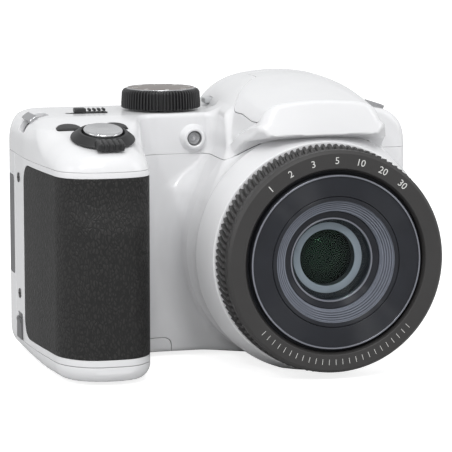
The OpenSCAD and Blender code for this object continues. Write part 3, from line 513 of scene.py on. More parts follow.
def fluted(name, count, outline, stations, material, body, place, slant=0.0, sharp=30, inner=0.0):
    """Ring of teeth: outline [share of pitch, height share], stations [along, root radius, tooth height]."""
    shares = np.array([o[0] for o in outline])
    heights = np.array([o[1] for o in outline])
    tooth = np.arange(count)
    per = len(outline)
    first, last = stations[0][0], stations[-1][0]
    if inner:
        stations = stations + [(last, inner, 0), (first, inner, 0)]
    points = []
    for height, root, proud in stations:
        twist = slant * (height - first) / (last - first)
        angle = 2 * math.pi / count * (tooth[:, None] + shares[None, :] + twist)
        radius = root + proud * heights[None, :]
        flat = np.broadcast_to(radius, angle.shape)
        points.append(np.stack([flat * np.cos(angle), flat * np.sin(angle), np.full_like(angle, height)], -1))
    points = np.array(points).reshape(len(stations), count * per, 3)
    around = count * per
    rows = [np.arange(around) + s * around for s in range(len(stations))]
    faces = ([] if inner else [rows[0], rows[-1]]) + strips(rows, bool(inner))
    piece = new_object(name, place(points.reshape(-1, 3)), faces, material, body)
    tidy(piece, sharp)
    return piece


def block(name, low, high, material, body, place=None, edge=0.25, segments=3):
    """Box with rounded edges between two corners."""
    work = bmesh.new()
    bmesh.ops.create_cube(work, size=1)
    low, high = np.array(low, float), np.array(high, float)
    for v in work.verts:
        v.co = Vector((low + high) / 2 + np.array(v.co) * (high - low))
    bmesh.ops.bevel(work, geom=work.edges[:], offset=edge, segments=segments, profile=0.5, affect="EDGES")
    points = np.array([v.co for v in work.verts])
    work.verts.index_update()
    faces = [[v.index for v in f.verts] for f in work.faces]
    work.free()
    return new_object(name, place(points) if place else points, faces, material, body, sharp=40)


def stud(name, corners, levels, material, body, place, sharp=35):
    """Key with an outline of rounded corners, drawn through levels [height, inset]."""
    outline = rounded(corners, 8)
    middle = outline.mean(0)
    reach = np.linalg.norm(outline - middle, axis=1).mean()
    rows = []
    for height, inset in levels:
        rows.append(np.insert(middle + (outline - middle) * (1 - inset / reach), 2, height, 1))
    count = len(outline)
    index = [np.arange(count) + k * count for k in range(len(levels))]
    faces = [index[0][::-1], index[-1]] + strips(index)
    piece = new_object(name, place(np.concatenate(rows)), faces, material, body)
    tidy(piece, sharp)
    return piece


def arched(name, centre, radii, angles, widths, material, body, steps=14):
    """Bar bent about an axis along y: inner and outer radius, angles from the vertical, front and back."""
    edge = 0.3
    (r0, r1), (y0, y1) = radii, widths
    section = rounded([(r0, y0, edge), (r1, y0, edge), (r1, y1, edge), (r0, y1, edge)], 30)
    rows = []
    for angle in np.radians(np.linspace(*angles, steps)):
        x = centre[0] + section[:, 0] * math.sin(angle)
        z = centre[1] + section[:, 0] * math.cos(angle)
        rows.append(np.stack([x, section[:, 1], z], 1))
    count = len(section)
    index = [np.arange(count) + k * count for k in range(steps)]
    faces = [index[0], index[-1]] + strips(index)
    piece = new_object(name, np.concatenate(rows), faces, material, body)
    tidy(piece, 40)
    return piece


# Materials
def node(tree, kind, **values):
    """New shader node with values for its inputs, whose names have _ for a space."""
    made = tree.nodes.new(kind)
    for key, value in values.items():
        made.inputs[key.replace("_", " ")].default_value = value
    return made


def new_material(name):
    """Empty material with its node tree."""
    made = bpy.data.materials.new(name)
    made.use_nodes = True
    return made, made.node_tree, made.node_tree.links.new


def material(name, colour, roughness, variation=0.04, grain=900.0, bump=0.05, metallic=0.0, coat=0.0,
             stretch=(1, 1, 1)):
    """Moulded or painted finish with a fine grain and a slight change of tone."""
    made, tree, link = new_material(name)
    shader = tree.nodes["Principled BSDF"]
    shader.inputs["Metallic"].default_value = metallic
    shader.inputs["Coat Weight"].default_value = coat
    where = node(tree, "ShaderNodeTexCoord")
    scale = node(tree, "ShaderNodeMapping", Scale=stretch)
    link(where.outputs["Object"], scale.inputs["Vector"])
    broad = node(tree, "ShaderNodeTexNoise", Scale=grain / 14, Detail=3)
    fine = node(tree, "ShaderNodeTexNoise", Scale=grain, Detail=2)
    for texture in (broad, fine):
        link(scale.outputs["Vector"], texture.inputs["Vector"])
    tone = node(tree, "ShaderNodeValToRGB")
    for stop, place, share in zip(tone.color_ramp.elements, (0.3, 0.7), (1 - variation, 1 + variation)):
        stop.position = place
        stop.color = (*[min(1, c * share) for c in colour], 1)
    link(broad.outputs["Fac"], tone.inputs["Fac"])
    link(tone.outputs["Color"], shader.inputs["Base Color"])
    gloss = node(tree, "ShaderNodeMapRange", To_Min=roughness * 0.88, To_Max=min(1, roughness * 1.12))
    link(fine.outputs["Fac"], gloss.inputs["Value"])
    link(gloss.outputs["Result"], shader.inputs["Roughness"])
    relief = node(tree, "ShaderNodeBump", Strength=bump, Distance=0.05 * MM)
    link(fine.outputs["Fac"], relief.inputs["Height"])
    link(relief.outputs["Normal"], shader.inputs["Normal"])
    return made


def leather(name):
    """Dark leatherette with a pebbled grain that runs up and down the grip, and painted shade in the creases
    of the grain.
    """
    made = material(name, (0.010, 0.0094, 0.0090), 0.54, variation=0.7, grain=700)
    tree = made.node_tree
    link = tree.links.new
    kept = {n.type: n for n in tree.nodes}
    scale = node(tree, "ShaderNodeMapping", Scale=(1, 1, 0.5))
    link(kept["TEX_COORD"].outputs["Object"], scale.inputs["Vector"])
    bend = node(tree, "ShaderNodeTexNoise", Scale=500)
    link(scale.outputs["Vector"], bend.inputs["Vector"])
    pull = node(tree, "ShaderNodeMix")
    pull.data_type = "VECTOR"
    pull.inputs["Factor"].default_value = 0.0012
    link(scale.outputs["Vector"], pull.inputs["A"])
    link(bend.outputs["Color"], pull.inputs["B"])
    cells = node(tree, "ShaderNodeTexVoronoi", Scale=1300)
    cells.feature = "DISTANCE_TO_EDGE"
    link(pull.outputs["Result"], cells.inputs["Vector"])
    pebble_and_crease_shade = node(tree, "ShaderNodeMapRange", From_Max=0.32)
    pebble_and_crease_shade.interpolation_type = "SMOOTHSTEP"
    link(cells.outputs["Distance"], pebble_and_crease_shade.inputs["Value"])
    relief = kept["BUMP"]
    relief.inputs["Distance"].default_value = 0.14 * MM
    relief.inputs["Strength"].default_value = 0.7
    link(pebble_and_crease_shade.outputs["Result"], relief.inputs["Height"])
    # The grain height also sets the colour: painted shade in the creases and painted light on the pebble
    # tops.
    link(pebble_and_crease_shade.outputs["Result"], kept["VALTORGB"].inputs["Fac"])
    return made


def glass(name, tint, gloss, bend):
    """Clear coated glass: what lies behind shows through, and the coating tints the reflections."""
    made, tree, link = new_material(name)
    tree.nodes.remove(tree.nodes["Principled BSDF"])
    through = node(tree, "ShaderNodeBsdfTransparent", Color=(*tint, 1))
    mirror = node(tree, "ShaderNodeBsdfGlossy", Roughness=0.02)
    where = node(tree, "ShaderNodeTexCoord")
    coat = node(tree, "ShaderNodeTexNoise", Scale=25)
    link(where.outputs["Object"], coat.inputs["Vector"])
    hue = node(tree, "ShaderNodeValToRGB")
    hue.color_ramp.elements[0].color = (*gloss, 1)
    hue.color_ramp.elements[1].color = (*[0.7 + 0.3 * c for c in gloss], 1)
    link(coat.outputs["Fac"], hue.inputs["Fac"])
    link(hue.outputs["Color"], mirror.inputs["Color"])
    share = node(tree, "ShaderNodeFresnel", IOR=bend)
    mix = node(tree, "ShaderNodeMixShader")
    for socket, source in enumerate((share, through, mirror)):
        link(source.outputs[0], mix.inputs[socket])
    link(mix.outputs[0], tree.nodes["Material Output"].inputs["Surface"])
    return made


def turned(made, amount):
    """Fine turning marks about the lens axis, which draw highlights out into streaks."""
    tree = made.node_tree
    shader = tree.nodes["Principled BSDF"]
    shader.inputs["Anisotropic"].default_value = amount
    shader.inputs["Anisotropic Rotation"].default_value = 0.25
    lay = node(tree, "ShaderNodeTangent")
    lay.direction_type = "RADIAL"
    lay.axis = "Y"
    tree.links.new(lay.outputs["Tangent"], shader.inputs["Tangent"])
    return made


def dull(made, level):
    """Weaker mirror reflections."""
    made.node_tree.nodes["Principled BSDF"].inputs["Specular IOR Level"].default_value = level


WHITE = material("white_plastic", (0.8, 0.8, 0.81), 0.24, variation=0.012, grain=1400, bump=0.025, coat=0.15)
SKIN = leather("grip_leather")
RING = material("satin_dark_grey", (0.036, 0.0345, 0.034), 0.46, variation=0.06, grain=1600, bump=0.10)
BLACK = material("satin_black", (0.020, 0.020, 0.021), 0.42, variation=0.10, grain=1500, bump=0.10)
LENS_BLACK = turned(material("lens_blue_black", (0.012, 0.0135, 0.019), 0.4, variation=0.12, grain=2600), 1.0)
BAFFLE = material("baffle_grey", (0.18, 0.195, 0.235), 0.55, variation=0.10, grain=2200, bump=0.12)
STOP = material("stop_grey", (0.34, 0.37, 0.44), 0.5, variation=0.08, grain=2200, bump=0.1)
RIM = turned(material("polished_rim", (0.30, 0.31, 0.35), 0.3, variation=0.05, grain=1800, metallic=0.9), 0.6)
BRIGHT = material("bright_rim", (0.55, 0.55, 0.56), 0.25, variation=0.05, grain=1800, bump=0.03, metallic=0.9)
SILVER = material("spun_silver", (0.62, 0.62, 0.63), 0.3, variation=0.05, grain=2400, bump=0.06,
                  metallic=0.85)
POLISHED = material("polished_silver", (0.72, 0.72, 0.73), 0.14, variation=0.03, grain=2400, bump=0.02,
                    metallic=0.95)
STEEL = material("plain_steel", (0.48, 0.48, 0.49), 0.34, variation=0.08, grain=1500, bump=0.08, metallic=1.0)
GREY = material("mid_grey_plastic", (0.13, 0.13, 0.135), 0.45, variation=0.05, grain=1400, bump=0.10)
CAP = material("dial_brown_grey", (0.15, 0.122, 0.108), 0.32, variation=0.10, grain=2000, bump=0.08)
MARK = material("pale_marks", (0.70, 0.70, 0.68), 0.55, variation=0.04, grain=1800)
KEY = material("pale_grey_keys", (0.56, 0.57, 0.58), 0.35, variation=0.02, grain=1400)
RED = material("record_red", (0.45, 0.03, 0.025), 0.3, variation=0.05, grain=1400)
SCREEN = material("screen_black", (0.008, 0.008, 0.010), 0.08, variation=0.15, grain=300, bump=0.0, coat=0.5)
BOARD = material("circuit_green", (0.012, 0.10, 0.045), 0.45, variation=0.35, grain=1500, bump=0.2)
CELL = material("cell_jacket", (0.07, 0.08, 0.10), 0.32, variation=0.12, grain=900)
SLEEVE = material("capacitor_sleeve", (0.01, 0.012, 0.05), 0.3, variation=0.1, grain=900)
GOLD = material("plated_contact", (0.65, 0.45, 0.15), 0.3, variation=0.08, grain=1300, bump=0.06, metallic=1)
FRONT_GLASS = glass("front_coating", (0.98, 1.0, 0.99), (0.7, 0.85, 0.95), 1.2)
GREEN_GLASS = glass("green_coating", (0.80, 0.86, 0.80), (0.15, 0.9, 0.35), 1.22)
# Opaque near-black element: painted shade for the dark lens interior behind it; its gloss gives real
# highlights.
INNER_GLASS_SHADE = material("inner_element", (0.003, 0.005, 0.004), 0.05, variation=0.3, grain=60, bump=0)
dull(INNER_GLASS_SHADE, 0.12)
# Near-black with weak reflections: painted shade for the dark depth of the lens.
DEPTH_SHADE = material("lens_depth_shade", (0.004, 0.004, 0.004), 0.7, variation=0.2, grain=900)
dull(DEPTH_SHADE, 0.08)
DIFFUSER = material("flash_diffuser", (0.66, 0.66, 0.62), 0.22, variation=0.08, grain=500, bump=0.5,
                    stretch=(4, 0.3, 1))

CAD_FINISH = {
    LENS_BLACK: ["lens_barrel"],
    BLACK: ["flash_head", "battery_bay", "microphone"],
    STEEL: ["tripod_socket", "door_hinge_pin", "chassis", "battery_springs", "zoom_motor",
            "screen_module", "port_block"],
    BOARD: ["sensor_board", "main_board", "key_board"],
    GREY: ["battery_latch"],
    KEY: ["menu_button", "play_button", "delete_button", "four_way_pad", "set_button"],
    RED: ["record_button"],
    SCREEN: ["screen_window"],
    CELL: ["battery_cells"],
    SLEEVE: ["flash_capacitor"],
    GOLD: ["door_contacts"],
    DIFFUSER: ["flash_window"],
    RING: ["side_screws", "base_screws"],
}
for finish, names in CAD_FINISH.items():
    for name in names:
        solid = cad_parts[name]
        solid.data.materials.clear()
        solid.data.materials.append(finish)


# Where the housing is parted
SEAM = GAP / 2 + EDGE
lid_plan = Outline([
    (-9.2, 1.4, 0.8), (-9.2, -8, 2), (-16.3, -16, 8), (-24, -28.6, 2), (-24, -39.9, 0.5), (-18.3, -40.6, 0.6),
    (-14.5, -42.2, 3), (0, -42.5, 40), (14.5, -42.2, 3), (18.3, -40.6, 0.6), (24, -39.9, 0.5), (24, -28.6, 2),
    (16.3, -16, 8), (9.2, -8, 2), (9.2, 1.4, 0.8),
])
LID_LOW = Outline([
    (-60, 70.6, 0), (-36, 70.6, 12), (-28, 71.9, 6), (40, 71.9, 0), (40, 120, 0), (-60, 120, 0),
])
port_low, port_high = node_box("port_cover")
port_face = panel(port_low[1], port_low[2], port_high[1], port_high[2], 1.2)
SKIN_Z = node_box("grip_skin")[0][2], node_box("grip_skin")[1][2]
SKIN_Y = (-9.0, WALL_Y - 14)
window_low, window_high = node_box("screen_window")
window_face = panel(window_low[0], window_low[2], window_high[0], window_high[2], 1.5)


def top_zone(x, y, z):
    """What belongs to the top cover: all above the seam but the collar under the hood."""
    return np.maximum(SEAM_Z - z, np.where(x > GRIP_VALLEY_X, hood_under(y, z) - 0.4, -9))


def door_zone(x, y, z):
    return np.maximum(meet(z - DOOR_Z, x - DOOR_X, 2.2), y - DOOR_BACK_Y)


def skin_zone(x, y, z):
    end = np.where(x < -62, y - SKIN_Y[0], y - SKIN_Y[1])
    panel = meet(meet(end, z - SKIN_Z[1], 5.5), SKIN_Z[0] - z, 5.5)
    return np.maximum(panel, x - GRIP_VALLEY_X)


def lid_zone(x, y, z):
    return meet(lid_plan(x, y), LID_LOW(y, z), 1.2)


def port_zone(x, y, z):
    return np.maximum(port_face(y, z), x + 68)


def window_zone(x, y, z):
    return np.maximum(window_face(x, z), 12 - y)


def bore(a, b, r, axis):
    """Round hole along an axis (0, 1 or 2) at its two other coordinates."""
    p, q = [i for i in range(3) if i != axis]
    return lambda *at: np.hypot(at[p] - a, at[q] - b) - r


def but(zone, margin=SEAM):
    """Cutting field that keeps what lies outside a zone, short of it by a margin."""
    return lambda x, y, z: margin - zone(x, y, z)


def within(zone, margin=SEAM):
    """Cutting field that keeps what lies inside a zone, short of its edge by a margin."""
    return lambda x, y, z: zone(x, y, z) + margin


def only(hole, guard):
    """A hole that only cuts where the guard is negative."""
    return lambda x, y, z: np.maximum(hole(x, y, z), guard(x, y, z))


OUTER = surface_net(outer_field, (LEFT, NOSE_Y, 0), (RIGHT, BACK_Y, HUMP_Z), STEP)

screw_low, screw_high = node_box("side_screws")
SCREW_AT = [((screw_low[1] + screw_high[1]) / 2, z) for z in (screw_low[2] + 1.4, screw_high[2] - 1.4)]
latch_low, latch_high = node_box("battery_latch")
latch_face = panel(latch_low[1], DOOR_Z - 2, latch_high[1], latch_high[2] + 1.4, 0.5)
LAMP_AT = (-29.3, 63.6)
LAMP_R = 2.1
MIC_AT = (30.7, 55.6)

on_left = lambda x, y, z: x + 70
on_front = lambda x, y, z: y + 5
on_rear = lambda x, y, z: 10 - y

front_cuts = [
    but(top_zone, 0.16),
    lambda x, y, z: y - SPLIT_Y + SEAM + 0 * x,
    but(door_zone), but(skin_zone, 0.16),
    but(only(bore(0, LENS_Z, 31.0, 1), lambda x, y, z: y + 20), 0.0),
    but(only(bore(*MIC_AT, 0.8, 1), on_front), 0.0),
    but(only(lambda x, y, z: latch_face(y, z) + 0 * x, on_left), 0.25),
]
front_cuts += [but(only(bore(*at, 1.35, 0), on_left), 0.14) for at in SCREW_AT]
shell("front_shell", front_cuts, WHITE, "camera", "front_cover")

key_names = ("record_button", "menu_button", "play_button", "delete_button", "four_way_pad")
rear_cuts = [
    lambda x, y, z: z - SEAM_Z + SEAM + 0 * x,
    lambda x, y, z: SPLIT_Y - y + SEAM + 0 * x,
    but(port_zone), but(door_zone), but(window_zone, 0.2),
]
for name in key_names:
    low, high = node_box(name)
    centre = (low + high) / 2
    face_r = (high[0] - low[0]) / 2 - 0.8
    rear_cuts.append(but(only(bore(centre[0], centre[2], face_r, 1), on_rear), 0.35))
shell("rear_shell", rear_cuts, WHITE, "camera", "rear_cover")

BUTTON_AHEAD = 12.2
BUTTON_X = (-68.5, -55.3)
BUTTON_FORM = [(-3.5, -1.6, 0.4), (3.5, -1.6, 0.4), (3.5, 3.5, 3.45), (-3.5, 3.5, 3.45)]
BUTTON_LEVELS = [(-3.2, 0), (0.1, 0), (0.3, 0.1), (0.42, 0.35), (0.5, 1.2)]
button_face = Outline(BUTTON_FORM)


def button_hole(x0):
    """Hole for a top button, square to the sloping grip top."""
    y0 = WALL_Y - BUTTON_AHEAD
    z0 = SHOULDER_Z - BUTTON_AHEAD * math.tan(SLOPE)

    def hole(x, y, z):
        v = (y - y0) * math.cos(SLOPE) + (z - z0) * math.sin(SLOPE)
        return np.maximum(button_face(x - x0, v), 60 - z)
    return hole


# Strap lugs: [side, corner radius, pocket angles from the vertical, bar angles]
LUGS = [(-1, 10.0, (6, 64), (30, 43)), (1, 12.5, (2, 42), (16, 26))]
LUG_Y = -3.0


def lug_centre(side, r):
    return (RIGHT - r if side > 0 else LEFT + r, SHOULDER_Z - r)


def pocket_zone(side, r, pocket, _):
    """Shallow pocket round the shoulder under a strap lug."""
    cx, cz = lug_centre(side, r)

    def zone(x, y, z):
        far = np.hypot(x - cx, z - cz)
        angle = np.arctan2(side * (x - cx), z - cz)
        low, high = np.radians(pocket)
        across = np.maximum(low - angle, angle - high) * r
        return np.maximum(meet(across, np.abs(y - LUG_Y) - 4.6, 1.2), r - 4 - far)
    return zone


switch_low, switch_high = node_box("power_switch")
switch_face = panel(switch_low[0] - 2.7, switch_low[1] - 0.3, switch_high[0] + 0.3, switch_high[1] + 0.3, 1.2)
RELEASE_X = (-22.2, -18.0)
RELEASE_Y = 4.0
RELEASE_Z = 72.8
release_face = panel(RELEASE_Y - 2.2, RELEASE_Z - 1.1, RELEASE_Y + 2.2, RELEASE_Z + 1.1, 0.3)
top_cuts = [
    within(top_zone, 0.16), but(lid_zone), but(only(bore(*LAMP_AT, LAMP_R + 1.2, 1), on_front), 0.0),
    but(lambda x, y, z: np.maximum(switch_face(x, y), 66 - z), 0.0),
    but(lambda x, y, z: np.maximum(np.maximum(release_face(y, z), x + 18), -30 - x), 0.0),
]
top_cuts += [but(button_hole(x), 0.28) for x in BUTTON_X]
top_cuts += [but(pocket_zone(*lug), 0.0) for lug in LUGS]
shell("top_shell", top_cuts, WHITE, "camera", "top_cover")
shell("lid_shell", [within(lid_zone)], WHITE, "lid", "flash_lid", 1.4)
shell("door_shell", [within(door_zone)], WHITE, "door", "battery_door", 1.5)
shell("port_door", [within(port_zone)], GREY, "port_door", "port_cover", 1.2)
shell("skin_panel", [within(skin_zone, 0.16)], SKIN, "camera", "grip_skin", 0.6)

for side, r, pocket, bar in LUGS:
    end = "right" if side > 0 else "left"
    low, high = sorted((side * pocket[0], side * pocket[1]))
    # Grey arch under each pocket: painted shade inside the recess below the strap bar, darker than the white
    # housing.
    arched(f"lug_pocket_shade_{end}", lug_centre(side, r), (r - 2.6, r - SHELL_T - 0.05), (low - 9, high + 9),
           (LUG_Y - 6, LUG_Y + 6), GREY, "camera")
    low, high = sorted((side * bar[0], side * bar[1]))
    lug = arched(f"lug_bar_{end}", lug_centre(side, r), (r - 0.6, r + 0.9), (low, high),
                 (LUG_Y - 6, LUG_Y + 6), STEEL, "camera")
    if side < 0:
        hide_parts("strap_lugs")

# Lens
lathe("lens_collar", [
    (COLLAR_R - 0.15, CREASE_Y + 0.5, 0.2), (COLLAR_R, CREASE_Y - 0.25, 0.3), (32.5, RING_BACK_Y - 0.2, 0.5),
    (29.2, RING_BACK_Y - 0.2, 0.3), (29.2, CREASE_Y + 0.5, 0.3),
], WHITE, "camera")

KNURL_END = RING_BACK_Y - 7.9
tooth = [(0.02, 0), (0.14, 0.55), (0.24, 1), (0.62, 0.8), (0.72, 0.3), (0.80, 0)]
fluted("ring_teeth", 108, tooth, [
    (RING_BACK_Y, 31.0, 0.2), (RING_BACK_Y - 0.5, 31.1, 0.9), (RING_BACK_Y - 4, 31.1, 0.95),
    (KNURL_END + 0.6, 31.1, 0.9), (KNURL_END, 31.0, 0.2),
], RING, "camera", lens_place, slant=0.9, inner=30.6)
ring_front = lathe("ring_front", [
    (30.6, RING_BACK_Y, 0.2), (31.0, KNURL_END + 1, 0.1), (31.0, KNURL_END, 0.15),
    (31.35, KNURL_END - 0.4, 0.2), (31.35, RING_Y + 0.9, 0.3), (30.5, RING_Y, 0.25),
    (26.3, RING_Y + 0.25, 0.35), (25.6, RING_Y + 1.4, 0.4), (25.6, RING_Y + 3.0, 0.3),
    (27.4, RING_Y + 3.2, 0.3), (27.4, RING_BACK_Y, 0.3),
], RING, "camera", segments=192)
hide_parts("lens_ring")

tube_len = node_box("zoom_tube")[1][1] - RING_Y
zoom_tube = lathe("zoom_barrel", [
    (24.55, RING_Y + 0.35, 0.25), (24.55, RING_Y + tube_len, 0.2), (23.4, RING_Y + tube_len, 0.2),
    (23.4, RING_Y + 2, 0.2), (18.5, RING_Y + 2, 0.2), (18.5, RING_Y + 0.35, 0.15), (23.9, RING_Y + 0.35, 0.1),
    (24.05, RING_Y + 0.05, 0.1), (24.4, RING_Y + 0.05, 0.15),
], LENS_BLACK, "zoom_stage", segments=192)
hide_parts("zoom_tube")
lathe("zoom_rim", [
    (24.0, RING_Y + 0.3, 0.05), (24.1, RING_Y - 0.02, 0.08), (24.5, RING_Y + 0.02, 0.12),
    (24.58, RING_Y + 0.4, 0.05),
], RIM, "zoom_stage", segments=192)

front_len = node_box("front_tube")[1][1] - RING_Y
front_tube = lathe("front_barrel", [
    (18.35, RING_Y + 0.35, 0.2), (18.35, RING_Y + front_len, 0.2), (16, RING_Y + front_len, 0.2),
    (16, RING_Y + front_len - 2, 0.2), (17.2, RING_Y + front_len - 2, 0.2), (17.2, RING_Y + 0.5, 0.1),
], LENS_BLACK, "lens_stage")
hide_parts("front_tube")

RIDGES = 7
ridge_run = []
for k in range(RIDGES):
    r = 18.2 - 4.2 * k / RIDGES
    h = RING_Y + 0.45 + 2.6 * k / RIDGES
    ridge_run += [(r, h, 0), (r - 0.34, h + 0.02, 0), (r - 0.36, h + 0.8, 0), (r - 0.58, h + 0.82, 0)]
baffle = lathe("ridged_baffle", ridge_run + [
    (13.9, RING_Y + 3.2, 0.1), (13.9, RING_Y + 9, 0.2), (17.0, RING_Y + 9, 0.2), (17.1, RING_Y + 0.9, 0.1),
], BAFFLE, "lens_stage", segments=192, sharp=20)
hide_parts("front_baffle")

RETAINER_Y = RING_Y + 4.8
retainer = lathe("glass_retainer", [
    (13.8, RETAINER_Y - 0.6, 0.2), (13.8, RETAINER_Y + 7.5, 0.2), (8.05, RETAINER_Y + 7.5, 0.2),
    (8.05, RETAINER_Y + 4.2, 0.1), (10.2, RETAINER_Y + 3.9, 0.15), (11.3, RETAINER_Y + 2.6, 0.2),
    (11.4, RETAINER_Y + 0.4, 0.2), (12.2, RETAINER_Y, 0.2),
], LENS_BLACK, "lens_stage")
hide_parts("lens_retainer")
lathe("retainer_edge", [
    (11.4, RETAINER_Y + 0.5, 0.1), (11.55, RETAINER_Y - 0.1, 0.1), (11.95, RETAINER_Y - 0.1, 0.1),
    (12.1, RETAINER_Y + 0.3, 0.1),
], RIM, "lens_stage")
lathe("stop_ring", [
    (8.05, RETAINER_Y + 3.95, 0.05), (10.05, RETAINER_Y + 3.75, 0.05), (10.1, RETAINER_Y + 4.3, 0.05),
    (8.05, RETAINER_Y + 4.4, 0.05),
], STOP, "lens_stage")


def dome(r, edge, rise, back):
    """Outline of a lens element: edge radius, front edge, rise of the front and back face."""
    big = (r * r + rise * rise) / (2 * rise)
    half = math.asin(r / big)
    front = []
    for angle in half * np.arange(15) / 14:
        front.append((big * math.sin(angle), edge - rise + big * (1 - math.cos(angle)), 0))
    return front + [(r, back, 0), (0, back, 0)]


front_glass = lathe("front_element", dome(11.35, RETAINER_Y + 1.0, 0.8, RETAINER_Y + 2.2), FRONT_GLASS,
                    "lens_stage")
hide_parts("front_glass")
lathe("green_element", dome(8.0, RETAINER_Y + 7.2, 3.2, RETAINER_Y + 7.4), GREEN_GLASS, "lens_stage")
# Near-black ring behind the green element: painted shade for the dark depth of the lens.
lathe("inner_depth_shade", [
    (3.9, RETAINER_Y + 10.2, 0.1), (8.2, RETAINER_Y + 7.6, 0.1), (8.2, RETAINER_Y + 11, 0.1),
    (3.9, RETAINER_Y + 11, 0.1),
], DEPTH_SHADE, "lens_stage")
# Near-black dome: painted shade of the lens interior, with real highlights on its gloss.
inner = lathe("inner_element", dome(3.95, RETAINER_Y + 10.4, 1.4, RETAINER_Y + 11), INNER_GLASS_SHADE, "lens_stage")
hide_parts("rear_lens")

# Focus lamp
LAMP_Y = WALL_Y
lamp_place = lambda p: np.stack([LAMP_AT[0] + p[..., 0], p[..., 2], LAMP_AT[1] + p[..., 1]], -1)
lathe("lamp_bezel", [
    (LAMP_R + 0.05, LAMP_Y + 2, 0.1), (LAMP_R + 0.05, LAMP_Y - 1.9, 0.2), (LAMP_R + 0.4, LAMP_Y - 2.1, 0.3),
    (LAMP_R + 0.9, LAMP_Y - 1.9, 0.5), (LAMP_R + 1.7, LAMP_Y - 0.3, 0.8), (LAMP_R + 2.2, LAMP_Y + 0.2, 0.4),
    (LAMP_R + 2.2, LAMP_Y + 2, 0.1),
], WHITE, "camera", lamp_place, 64)
lathe("lamp_tube", [
    (LAMP_R - 0.02, LAMP_Y - 1.7, 0.05), (LAMP_R - 0.02, LAMP_Y + 1.9, 0.1),
    (LAMP_R - 0.3, LAMP_Y + 1.9, 0.1), (LAMP_R - 0.3, LAMP_Y - 1.55, 0.1),
], GREY, "camera", lamp_place, 48)
lamp = lathe("lamp_reflector", [
    (0, LAMP_Y - 1.05, 0), (0.45, LAMP_Y - 0.95, 0.1), (0.62, LAMP_Y - 0.4, 0.1), (0.8, LAMP_Y - 0.2, 0.1),
    (LAMP_R - 0.4, LAMP_Y - 1.35, 0.1), (LAMP_R - 0.35, LAMP_Y + 1.6, 0.1), (0, LAMP_Y + 1.6, 0),
], SILVER, "camera", lamp_place, 48)
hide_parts("focus_lamp")

# Mode dial
DIAL_AT = (-36.0, 0.0)
DIAL_Z = node_box("mode_dial")[1][2] - 5.6
on_dial = upright(*DIAL_AT)
flute = [(0.0, 0), (0.10, 0.8), (0.18, 1), (0.48, 1), (0.56, 0.8), (0.66, 0)]
dial = fluted("dial_grip", 72, flute, [
    (SHOULDER_Z + 0.08, 10.8, 0.5), (SHOULDER_Z + 0.3, 10.85, 0.75), (DIAL_Z + 1.2, 10.85, 0.75),
    (DIAL_Z + 4.4, 10.65, 0.75), (DIAL_Z + 5.1, 10.4, 0.5), (DIAL_Z + 5.4, 10.1, 0.05),
], BLACK, "dial", on_dial)
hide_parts("mode_dial")
lathe("dial_rim", [
    (9.6, DIAL_Z + 5.3, 0.05), (10.1, DIAL_Z + 5.3, 0.1), (9.9, DIAL_Z + 5.62, 0.12),
    (9.6, DIAL_Z + 5.62, 0.05),
], BRIGHT, "dial", on_dial, 96)
cap = lathe("dial_disc", [
    (0, DIAL_Z + 5.2, 0), (9.65, DIAL_Z + 5.2, 0), (9.65, DIAL_Z + 5.55, 0.1), (0, DIAL_Z + 5.72, 0),
], CAP, "dial", on_dial, 96)
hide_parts("dial_cap")


# Plain figures on the dial and on the face of the lens ring
FIGURE_H = 1.9
RING_FIGURE_R = 28.4
DIAL_FIGURE_R = 7.7


def written(text, height, raised=0.04):
    """Points and faces of plain figures that lie flat about the origin."""
    curve = bpy.data.curves.new("figures", "FONT")
    curve.body = text
    curve.align_x = curve.align_y = "CENTER"
    curve.size = height / 0.69
    curve.extrude = raised
    curve.resolution_u = 3
    maker = bpy.data.objects.new("figures", curve)
    flat = bpy.data.meshes.new_from_object(maker)
    points = np.array([v.co for v in flat.vertices])
    faces = [list(face.vertices) for face in flat.polygons]
    bpy.data.objects.remove(maker)
    bpy.data.curves.remove(curve)
    bpy.data.meshes.remove(flat)
    return points, faces


def on_ring(angle):
    """Placing function for figures on the face of the lens ring, at an angle from its top."""
    def place(p):
        r = RING_FIGURE_R + p[:, 1]
        turn = math.radians(angle) + p[:, 0] / RING_FIGURE_R
        face = RING_Y + 0.06 * (30.5 - r)
        return lens_place(np.stack([r * np.sin(turn), r * np.cos(turn), face - p[:, 2]], -1))
    return place


def on_cap(angle):
    """Placing function for figures round the top of the mode dial."""
    turn = np.array(Matrix.Rotation(math.radians(angle), 3, "Z"))
    lift = np.array([0, DIAL_FIGURE_R, DIAL_Z + 5.59])
    return lambda p: on_dial((p + lift) @ turn.T)


def figures(name, texts, angles, height, place, body):
    """One piece with several figures, each at its angle."""
    points, faces, count = [], [], 0
    for text, angle in zip(texts, angles):
        flat, sides = written(text, height)
        points.append(place(angle)(flat))
        faces += [[v + count for v in side] for side in sides]
        count += len(flat)
    return new_object(name, np.concatenate(points), faces, MARK, body, sharp=30)


figures("ring_figures_top", ["1", "2", "3", "5", "10", "20", "30"], range(-42, 43, 14), FIGURE_H, on_ring,
        "camera")
figures("ring_figures_low", ["|"] * 25, np.linspace(132, 228, 25), 1.2, on_ring, "camera")
figures("dial_figures", [str(k) for k in range(1, 9)], range(0, 360, 45), FIGURE_H, on_cap, "dial")

